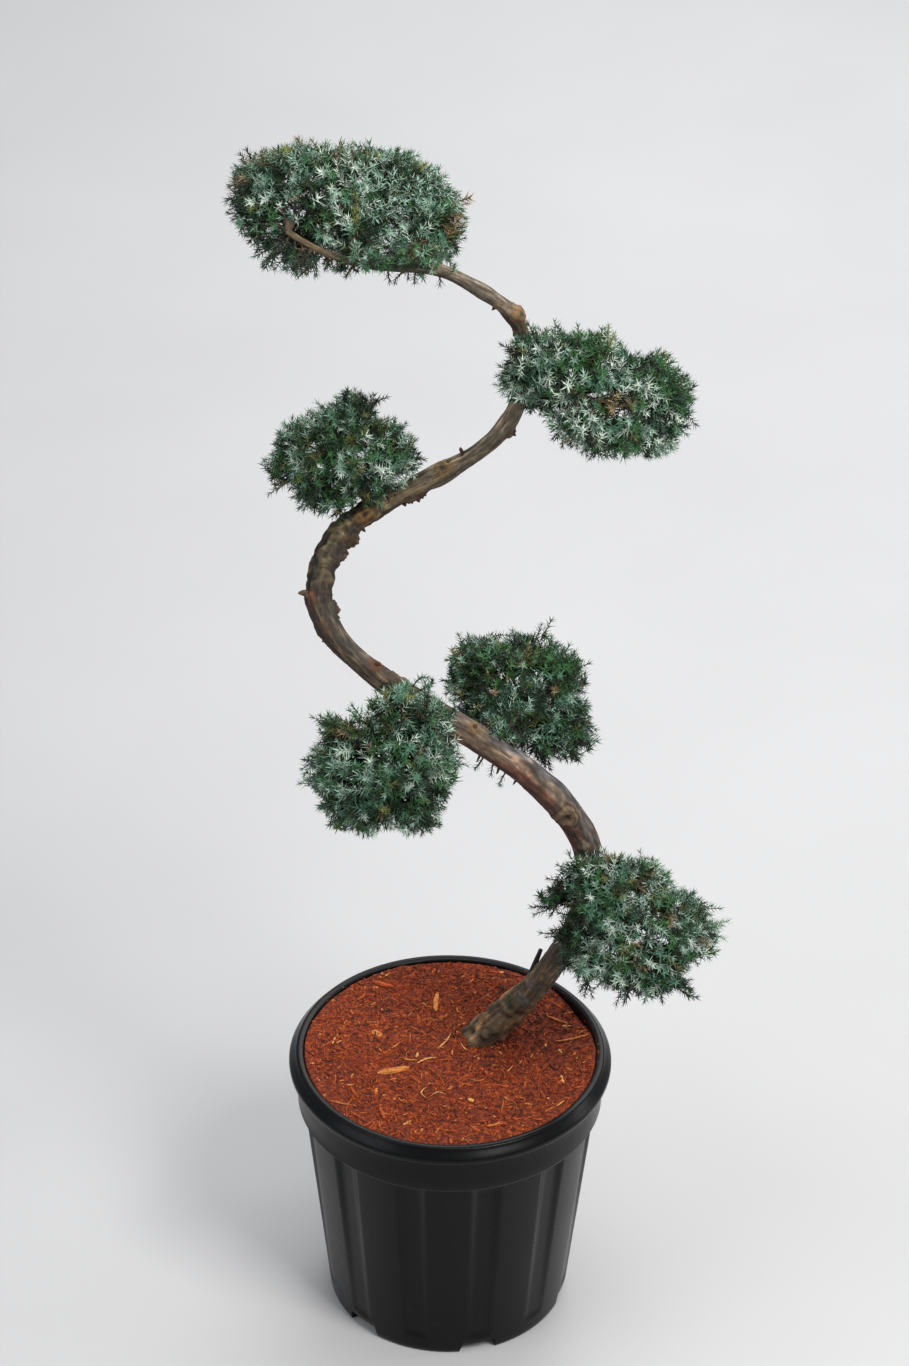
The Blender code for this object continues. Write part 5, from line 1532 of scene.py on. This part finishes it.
def build_foliage():
    looks = []
    for tint, (upper, lower) in NEEDLES.items():
        looks.append(plain_material(f"needle_{tint}_upper", upper, 0.55))
        looks.append(plain_material(f"needle_{tint}_lower", lower, 0.50))
    bark = twig_material()
    total = 0
    for number, name in enumerate(PADS):
        twigs = Parts()
        faces, shoots = build_pad(number, name, twigs, looks)
        points, polygons, which = twigs.arrays()
        piece = make_object(f"twigs_{name[4:]}", points, polygons, [bark], which, smooth=True)
        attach(piece, "root")
        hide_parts(name)
        print(name, "shoots", shoots, "needle triangles", faces, "twig triangles", twigs.triangles())
        total += faces + twigs.triangles()
    return total


# ---------------------------------------------------------------- pot


def body_radius(z):
    return BODY_R0 + BODY_SLOPE * z


def arc_points(r0, z0, r1, z1, bulge, count):
    """Points between two corners of a profile, swelling sideways by bulge."""
    t = np.linspace(0, 1, count + 1)[1:]
    away = unit(np.array((z1 - z0, -(r1 - r0))))
    hump = bulge * 4 * t * (1 - t)
    return [(r0 + (r1 - r0) * k + away[0] * h, z0 + (z1 - z0) * k + away[1] * h) for k, h in zip(t, hump)]


def build_pot():
    # angles: even, with more at the flutes' edges
    steps = np.radians([-15, -11.5, -9.1, -8.6, -8.1, -7.4, -6.5, -6.0, -5.2, -4.4, -3.6, -1.8, 0])
    steps = np.concatenate([steps, -steps[-2:0:-1]])
    turn = np.concatenate([steps + math.radians(15 + 30 * i) for i in range(FLUTES)])
    cols = len(turn)
    from_flute = np.tile(np.abs(steps), FLUTES)

    body_top = COLLAR_LOW - 0.0015
    floor = SKIRT_H + 0.003
    inner = [(0.0, floor), (0.05, floor), (body_radius(floor) - WALL - 0.002, floor)]
    inner += [(body_radius(floor) - WALL, floor + 0.003)]
    for z in np.linspace(floor + 0.02, body_top, 8):
        inner.append((body_radius(z) - WALL, z))
    inner += [(LIP_IN_R - 0.0004, COLLAR_LOW + 0.004), (LIP_IN_R, COLLAR_LOW + 0.006)]
    inner += [(LIP_IN_R, 0.238), (LIP_IN_R + 0.0001, 0.2500), (LIP_IN_R + 0.0002, 0.2640), (LIP_IN_R + 0.0004, POT_TOP - 0.0022)]
    lip = arc_points(LIP_IN_R + 0.0004, POT_TOP - 0.0022, LIP_IN_R + 0.0024, POT_TOP - 0.0004, -0.0005, 4)
    lip += arc_points(LIP_IN_R + 0.0024, POT_TOP - 0.0004, LIP_R - 0.0076, POT_TOP - 0.0002, -0.0003, 4)
    lip += arc_points(LIP_R - 0.0076, POT_TOP - 0.0002, LIP_R - 0.0062, POT_TOP - 0.0015, -0.0003, 3)
    lip += [(LIP_R - 0.0045, POT_TOP - 0.0034), (LIP_R - 0.0025, POT_TOP - 0.0058)]
    lip += arc_points(LIP_R - 0.0016, POT_TOP - 0.0070, LIP_R, POT_TOP - 0.0104, -0.0005, 4)
    lip += [(LIP_R - 0.0002, 0.2575), (LIP_R - 0.0008, LIP_LOW + 0.0006), (LIP_R - 0.0018, LIP_LOW)]
    lip += [(COLLAR_R + 0.0022, LIP_LOW - 0.0008), (COLLAR_R + 0.0008, LIP_LOW - 0.0022), (COLLAR_R + 0.0002, 0.2500)]
    lip += [(COLLAR_R + 0.0001, 0.240), (COLLAR_R, 0.230), (COLLAR_R, COLLAR_LOW + 0.0024)]
    lip += [(COLLAR_R - 0.0001, COLLAR_LOW + 0.0012), (COLLAR_R - 0.0007, COLLAR_LOW + 0.0002), (COLLAR_R - 0.0022, COLLAR_LOW - 0.0002)]
    inner += lip
    first_body = len(inner)
    body_z = [body_top + 0.0003, 0.2160, 0.2152, 0.2146, 0.2140, 0.2132, 0.2120]
    body_z += list(np.linspace(0.205, 0.035, 12)) + [0.027, 0.0215, 0.0200, 0.0185, 0.014, 0.009, 0.0045]
    body = [(body_radius(z), z) for z in body_z]
    foot = [(FOOT_R + 0.0015, 0.0018), (FOOT_R + 0.0004, 0.0003), (FOOT_R - 0.0004, 0.0)]
    foot += [(FOOT_R - 0.0046, 0.0), (FOOT_R - 0.0052, 0.0006), (FOOT_R - 0.0056, SKIRT_H)]
    foot += [(0.070, SKIRT_H), (FOOT_DISC_R + 0.002, SKIRT_H), (FOOT_DISC_R + 0.0002, 0.0004), (FOOT_DISC_R, 0.0), (0.0, 0.0)]
    profile = inner + body + foot
    rings = profile[1:-1]
    radius = np.array([p[0] for p in rings])[:, None] + np.zeros((1, cols))
    height = np.array([p[1] for p in rings])[:, None] + np.zeros((1, cols))

    # flutes: hollows with soft edges, deepest under the collar
    z = height
    deep = np.interp(z, (FLUTE_FOOT - 0.0010, FLUTE_FOOT + 0.0012, 0.2130, 0.2152), (0.0, 0.0009, FLUTE_DEPTH, 0.0))
    deep = np.where((z > FLUTE_FOOT + 0.0012) & (z < 0.2130), 0.0009 + (FLUTE_DEPTH - 0.0009) * (z - FLUTE_FOOT) / 0.1945, deep)
    half = FLUTE_WIDE / 2
    across = smooth_step((half - from_flute[None]) / (half * 0.58))
    is_body = np.zeros(len(rings), bool)
    is_body[first_body - 1 : first_body - 1 + len(body)] = True
    radius = radius - np.where(is_body[:, None], deep * across, 0.0)
    # a lip that is not quite true, as moulded pots are
    wave = 0.00025 * np.sin(turn * 2 + 0.6) + 0.00018 * np.sin(turn * 3 + 2.0)
    radius = radius + np.where(height > 0.22, wave[None], 0.0)

    # drain notches through the skirt, under every other flute, with leaning sides
    every_other = np.repeat(np.arange(FLUTES) % 2 == 0, len(steps))
    arch = np.interp(from_flute, np.radians((7.4, 8.1, 8.6, 9.1)), (NOTCH_H, 0.0096, 0.0048, 0.0))
    arch = np.where(every_other, arch, 0.0)[None]
    is_skirt = (np.arange(len(rings)) >= first_body - 1)[:, None] & (radius > 0.1)
    height = np.where(is_skirt, np.maximum(height, arch), height)

    points = np.stack([radius * np.sin(turn), -radius * np.cos(turn), height], -1)
    rows = len(rings)
    index = np.arange(rows * cols).reshape(rows, cols)
    a, b = index[:-1], index[1:]
    quads = np.stack([a, b, np.roll(b, -1, 1), np.roll(a, -1, 1)], -1).reshape(-1, 4)
    points = np.concatenate([points.reshape(-1, 3), [(0, 0, floor), (0, 0, 0)]])
    last = rows * cols
    top = np.column_stack([index[0], np.roll(index[0], -1), np.full(cols, last)])
    under = np.column_stack([np.roll(index[-1], -1), index[-1], np.full(cols, last + 1)])
    look = plastic_material()
    pot = make_object("nursery_pot", points, [quads, top, under], [look], None, smooth=True)

    pot.data.set_sharp_from_angle(angle=math.radians(38))
    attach(pot, "root")
    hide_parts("pot")
    pot.data.calc_loop_triangles()
    return len(pot.data.loop_triangles)


# ---------------------------------------------------------------- mulch


def mulch_height(x, y):
    places = np.column_stack([x * 38, y * 38, np.full(len(x), 4.2)])
    flat = np.hypot(x - GROUND[0], y - GROUND[1])
    ease = smooth_step((flat - 0.026) / 0.02)
    rough = 0.0020 * gradient_noise(places, 5) * ease
    lump = 0.0018 * layered_noise(np.column_stack([x, y, 0 * x]) / 0.0070, 61, 3)
    far = np.hypot(x - DIP[0][0], y - DIP[0][1])
    sunk = DIP[1] * np.exp(-((far / DIP[2]) ** 2)) * ease
    reach = np.hypot(x, y)
    # heaped against the wall at the left and right, lower at the back
    heap = 0.0022 * smooth_step((reach - 0.112) / 0.018) * np.clip(1.3 * np.abs(x) / 0.13 - 0.2, 0.0, 1.0)
    heap = heap * np.clip(1.0 - 12.0 * (y - 0.02), 0.0, 1.0)
    slump = 0.0006 * smooth_step((reach - 0.118) / 0.012) * np.clip(y / 0.10, 0.0, 1.0)
    collar = 0.0012 * np.exp(-(((flat - 0.024) / 0.007) ** 2))
    # nearly level with the lip round the back and the back left
    brim = 0.0021 * smooth_step((reach - 0.075) / 0.045) * smooth_step((y + 0.01 - 0.55 * x) / 0.06)
    return MULCH_Z + 0.0004 + rough + lump - sunk + heap - slump + brim + collar


def build_mulch():
    rings = np.concatenate([np.linspace(0.0018, 0.120, 66), np.linspace(0.1218, LIP_IN_R - 0.0004, 7)])
    cols = 220
    turn = np.arange(cols) * math.tau / cols
    jitter = np.random.default_rng(7).uniform(-0.3, 0.3, (len(rings), cols)) * math.tau / cols
    jitter[-1] = 0
    angle = turn[None] + jitter
    x, y = rings[:, None] * np.sin(angle), -rings[:, None] * np.cos(angle)
    z = mulch_height(x.ravel(), y.ravel()).reshape(x.shape)
    top = np.stack([x, y, z], -1)
    body_top = COLLAR_LOW - 0.0015
    floor = SKIRT_H + 0.003 + GAP
    clear = WALL + GAP + 0.0002
    lower = [
        (LIP_IN_R - 0.0004, 0.245), (LIP_IN_R - GAP - 0.0002, COLLAR_LOW + 0.006),
        (body_radius(body_top) - clear, body_top - 0.0004), (body_radius(floor) - clear, floor + 0.004),
        (body_radius(floor) - clear - 0.003, floor),
    ]
    sides = np.array([[(r * math.sin(a), -r * math.cos(a), h) for a in turn] for r, h in lower])
    grid = np.concatenate([top, sides])
    rows = len(grid)
    points = np.concatenate([grid.reshape(-1, 3), [(0, 0, mulch_height(np.zeros(1), np.zeros(1))[0]), (0, 0, floor)]])
    index = np.arange(rows * cols).reshape(rows, cols)
    a, b = index[:-1], index[1:]
    quads = np.stack([a, b, np.roll(b, -1, 1), np.roll(a, -1, 1)], -1).reshape(-1, 4)
    last = rows * cols
    hub = np.column_stack([index[0], np.roll(index[0], -1), np.full(cols, last)])
    under = np.column_stack([np.roll(index[-1], -1), index[-1], np.full(cols, last + 1)])
    bed = make_object("mulch_bed", points, [quads, hub, under], [mulch_material()], None, smooth=True)
    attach(bed, "root")
    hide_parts("mulch")

    looks = [
        chip_material("shred_rust", (0.53, 0.195, 0.040), 1.25),
        chip_material("shred_orange", (0.65, 0.285, 0.068), 1.2),
        chip_material("shred_brown", (0.385, 0.135, 0.030), 1.3),
        chip_material("shred_dark", (0.24, 0.090, 0.036), 1.4),
        chip_material("shred_straw", (0.77, 0.46, 0.21), 1.15),
        chip_material("shred_pale", (0.86, 0.62, 0.36), 1.1),
    ]
    rng = np.random.default_rng(23)
    parts = Parts()

    def lay(x, y, turn, tilt, long, wide, thick, bend, look, rise):
        """Slivers of five corners a ring, bent, lying on the bed."""
        n = len(x)
        ring = 5
        share = np.array((0.0, 0.16, 0.5, 0.84, 1.0))
        plump = np.array((0.25, 0.9, 1.0, 0.8, 0.15))
        ahead = (share - 0.5)[None] * long[:, None]
        swing = bend[:, None] * (share - 0.5)[None] ** 2 * long[:, None] * 4
        cos_t, sin_t = np.cos(turn)[:, None], np.sin(turn)[:, None]
        px = x[:, None] + cos_t * ahead - sin_t * swing
        py = y[:, None] + sin_t * ahead + cos_t * swing
        r = np.hypot(px, py)
        lift = np.maximum(r / (LIP_IN_R - 0.0012), 1.0)
        px, py = px / lift, py / lift
        ground = mulch_height(px.ravel(), py.ravel()).reshape(px.shape)
        level = ground.mean(1, keepdims=True) * 0.6 + ground * 0.4
        pz = level + rise[:, None] + np.sin(tilt)[:, None] * ahead
        axis = np.stack([px, py, pz], -1)
        across = np.stack([-sin_t + 0 * ahead, cos_t + 0 * ahead, 0 * ahead], -1)
        roll = rng.uniform(-0.5, 0.5, n)[:, None, None]
        up = np.zeros_like(across)
        up[..., 2] = 1
        side = across * np.cos(roll) + up * np.sin(roll)
        lid = up * np.cos(roll) - across * np.sin(roll)
        w = (wide[:, None] * plump[None])[..., None] * 0.5
        h = (thick[:, None] * plump[None])[..., None]
        points = np.stack([
            axis - side * w - lid * h * 0.5, axis + side * w - lid * h * 0.5,
            axis + side * w * 0.8 + lid * h * 0.5, axis - side * w * 0.75 + lid * h * 0.55,
        ], 2)
        index = np.arange(n * ring * 4).reshape(n, ring, 4)
        a, b = index[:, :-1], index[:, 1:]
        quads = np.stack([a, np.roll(a, -1, 2), np.roll(b, -1, 2), b], -1).reshape(-1, 4)
        caps = np.concatenate([index[:, 0, ::-1], index[:, -1]])
        parts.add(points, [quads, caps], [np.repeat(look, (ring - 1) * 4), np.concatenate([look, look])])

    def crumbs(x, y, size, look, level=None):
        """Small wedges, half sunk in the bed, or lying at a level of their own."""
        n = len(x)
        shape = rng.normal(0, 1, (n, 5, 3))
        shape = shape / np.linalg.norm(shape, axis=2, keepdims=True)
        stretch = np.stack([rng.uniform(0.5, 1.0, n), rng.uniform(0.25, 0.55, n), rng.uniform(0.2, 0.45, n)], 1)
        base = np.array(((1, 0, 0), (-0.5, 0.87, 0), (-0.5, -0.87, 0), (0, 0, 1), (0, 0, -1)), float)
        shape = (base[None] + 0.35 * shape) * stretch[:, None] * size[:, None, None]
        turn = rng.random(n) * math.tau
        c, s = np.cos(turn)[:, None], np.sin(turn)[:, None]
        px = shape[..., 0] * c - shape[..., 1] * s + x[:, None]
        py = shape[..., 0] * s + shape[..., 1] * c + y[:, None]
        pz = shape[..., 2] + ((mulch_height(x, y) if level is None else level) + size * 0.10)[:, None]
        tris = np.array(((0, 1, 3), (1, 2, 3), (2, 0, 3), (1, 0, 4), (2, 1, 4), (0, 2, 4)))
        index = np.arange(n)[:, None, None] * 5 + tris[None]
        parts.add(np.stack([px, py, pz], -1), [index.reshape(-1, 3)], [np.repeat(look, 6)])

    def scatter(n, edge):
        r = np.sqrt(rng.random(n)) * edge
        a = rng.random(n) * math.tau
        x, y = r * np.cos(a), r * np.sin(a)
        free = np.hypot(x - GROUND[0], (y - GROUND[1])) > 0.023
        return x[free], y[free]

    x, y = scatter(1750, 0.129)
    n = len(x)
    look = rng.choice(6, n, p=(0.37, 0.35, 0.17, 0.055, 0.043, 0.012))
    # painted shadow: in the right back of the bed, under the foliage above, half the shreds take the brown and dark
    # looks
    look = np.where((np.hypot(x - 0.095, y - 0.045) < 0.046) & (rng.random(n) < 0.5), rng.choice((2, 3), n), look)
    long = np.clip(rng.lognormal(math.log(0.0076), 0.45, n), 0.0035, 0.024)
    lay(x, y, rng.random(n) * math.tau, rng.normal(0, 0.10, n), long, np.clip(rng.lognormal(math.log(0.0010), 0.50, n), 0.00045, 0.0036),
        rng.uniform(0.0005, 0.0012, n), rng.normal(0, 0.10, n), look, rng.uniform(0.0, 0.0011, n))
    x, y = scatter(5300, 0.1315)
    look = rng.choice(6, len(x), p=(0.38, 0.31, 0.19, 0.075, 0.035, 0.01))
    # painted shadow: the crumbs in the right back of the bed are darker too, under the foliage above
    look = np.where((np.hypot(x - 0.095, y - 0.045) < 0.046) & (rng.random(len(x)) < 0.6), rng.choice((2, 3), len(x)), look)
    crumbs(x, y, rng.uniform(0.0013, 0.0036, len(x)), look)
    # crumbs heaped against the stem's foot
    ring = foot_ring[0][:, :2]
    pick = rng.integers(0, len(ring), 260)
    away = unit(ring[pick] - ring.mean(0))
    near = ring[pick] + away * rng.uniform(-0.0010, 0.0050, 260)[:, None] + rng.normal(0, 0.0006, (260, 2))
    heaped = mulch_height(near[:, 0], near[:, 1]) + rng.uniform(0.0, 0.0016, 260) * np.clip(1.0 - np.linalg.norm(near - ring[pick], axis=1) / 0.005, 0.2, 1.0)
    crumbs(near[:, 0], near[:, 1], rng.uniform(0.0012, 0.0030, 260), rng.choice(6, 260, p=(0.34, 0.24, 0.24, 0.14, 0.03, 0.01)), heaped)
    # a few crumbs lie on the lip's inner edge, most of them at the sides
    angle = np.concatenate([rng.normal(-1.55, 0.42, 70), rng.normal(1.50, 0.38, 60), rng.random(50) * math.tau])
    reach = LIP_IN_R + rng.uniform(-0.0008, 0.0024, len(angle))
    grain = rng.uniform(0.0008, 0.0018, len(angle))
    level = np.interp(reach, (LIP_IN_R + 0.0002, LIP_IN_R + 0.0020), (POT_TOP - 0.0036, POT_TOP - 0.0002))
    crumbs(reach * np.sin(angle), -reach * np.cos(angle), grain, rng.choice(6, len(angle), p=(0.36, 0.29, 0.17, 0.12, 0.05, 0.01)), level)
    # the larger chips: x, y, length, turn in degrees, width, bend, look
    chips = (
        (-0.051, -0.029, 0.030, 15, 0.0070, 0.02, 4), (-0.014, 0.072, 0.030, -93, 0.0052, 0.05, 4),
        (-0.067, 0.024, 0.011, -33, 0.0070, 0.0, 4), (-0.004, 0.014, 0.026, 62, 0.0014, 0.06, 5),
        (-0.022, -0.012, 0.020, 28, 0.0013, -0.12, 5), (-0.098, -0.077, 0.022, -22, 0.0016, 0.04, 4),
        (-0.086, -0.060, 0.019, -67, 0.0030, 0.05, 1), (0.112, 0.022, 0.034, 19, 0.0022, 0.03, 4),
        (-0.026, -0.060, 0.016, -86, 0.0013, 0.34, 5), (-0.011, -0.059, 0.013, 12, 0.0012, -0.3, 5),
        (0.019, -0.070, 0.006, -27, 0.0036, 0.0, 5), (-0.063, 0.095, 0.021, -19, 0.0048, 0.02, 1),
        (0.098, 0.053, 0.022, -26, 0.0024, 0.02, 4), (0.099, -0.074, 0.010, 48, 0.0015, 0.0, 5),
        (0.026, -0.042, 0.016, 11, 0.0012, 0.28, 4), (0.012, 0.004, 0.012, -58, 0.0013, 0.1, 5),
        (-0.049, 0.008, 0.011, 49, 0.0017, 0.0, 4), (-0.084, -0.092, 0.013, -45, 0.0022, 0.0, 1),
        (-0.037, -0.014, 0.014, -11, 0.0017, 0.1, 4), (-0.030, -0.006, 0.008, 80, 0.0026, 0.0, 5),
        (-0.106, 0.012, 0.010, 75, 0.0016, 0.0, 5), (-0.060, -0.088, 0.020, -75, 0.0034, 0.0, 1),
        (0.060, 0.083, 0.015, 60, 0.0016, 0.1, 4), (0.040, -0.103, 0.014, 20, 0.0018, 0.1, 4),
        (-0.030, 0.098, 0.017, -10, 0.0022, 0.0, 2), (0.080, -0.096, 0.007, 10, 0.0030, 0.0, 1),
        (0.100, 0.002, 0.006, -60, 0.0024, 0.0, 5), (0.036, -0.006, 0.010, 10, 0.0026, 0.0, 3),
    )
    rows = np.array([c[:6] for c in chips])
    n = len(rows)
    lay(rows[:, 0], rows[:, 1], np.radians(rows[:, 3]), rng.normal(0, 0.04, n), rows[:, 2], rows[:, 4],
        np.clip(rows[:, 4] * 0.4, 0.0006, 0.0018), rows[:, 5], np.array([c[6] for c in chips]), np.full(n, 0.0016))
    points, faces, which = parts.arrays()
    shreds = make_object("mulch_shreds", points, faces, looks, which)
    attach(shreds, "root")
    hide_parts("mulch")
    bed.data.calc_loop_triangles()
    return len(bed.data.loop_triangles) + parts.triangles()


# ---------------------------------------------------------------- stage


def build_stage():
    size = 40.0
    floor = make_object(
        "floor", np.array([(-size, -size, 0), (size, -size, 0), (size, size, 0), (-size, size, 0)], float),
        [np.array([[0, 1, 2, 3]])], [floor_material()],
    )

    world = bpy.data.worlds.new("studio")
    bpy.context.scene.world = world
    world.use_nodes = True
    world.node_tree.nodes["Background"].inputs["Color"].default_value = (0.93, 0.95, 1.0, 1.0)
    world.node_tree.nodes["Background"].inputs["Strength"].default_value = 0.38

    def soft_light(name, place, target, size, power, colour=(1.0, 1.0, 1.0)):
        data = bpy.data.lights.new(name, "AREA")
        data.shape = "RECTANGLE"
        data.size, data.size_y = size
        data.energy = power
        data.color = colour
        lamp = bpy.data.objects.new(name, data)
        bpy.context.scene.collection.objects.link(lamp)
        lamp.location = place
        lamp.rotation_euler = (Vector(target) - Vector(place)).to_track_quat("-Z", "Y").to_euler()

    soft_light("key", (1.5, -1.7, 3.0), (0, 0, 0.55), (1.2, 1.2), 92.0, (1.0, 0.985, 0.96))
    soft_light("fill", (-2.2, -1.2, 2.2), (0, 0, 0.6), (1.8, 1.8), 17.0, (0.96, 0.98, 1.0))
    soft_light("top", (0.1, 0.4, 3.2), (0, 0, 0.5), (1.8, 1.8), 36.0)
    soft_light("back", (0.6, 2.9, 2.3), (0.4, 2.8, 0.0), (2.8, 1.8), 52.0)
    soft_light("edge", (2.6, 0.3, 1.1), (0.1, 0, 0.3), (0.5, 1.6), 9.0)


def build_camera():
    tilt, roll = 0.59152, 0.0100
    right = Vector((1, 0, 0))
    up = Vector((0, math.sin(tilt), math.cos(tilt)))
    ahead = Vector((0, math.cos(tilt), -math.sin(tilt)))
    x = math.cos(roll) * right + math.sin(roll) * up
    y = math.cos(roll) * up - math.sin(roll) * right
    data = bpy.data.cameras.new("camera")
    data.sensor_fit = "VERTICAL"
    data.sensor_width = data.sensor_height = 36.0
    data.lens = 4272.93 / 1366 * 36.0
    data.clip_start, data.clip_end = 0.1, 60.0
    camera = bpy.data.objects.new("camera", data)
    bpy.context.scene.collection.objects.link(camera)
    matrix = Matrix((x, y, -ahead)).transposed().to_4x4()
    matrix.translation = (0.0006, -3.0363, 2.7100)
    camera.matrix_world = matrix
    bpy.context.scene.camera = camera


build_camera()
counts = {"bark": build_bark(), "foliage": build_foliage(), "pot": build_pot(), "mulch": build_mulch()}
print("triangles", counts, sum(counts.values()))
build_stage()
bpy.context.scene.view_settings.view_transform = "Standard"
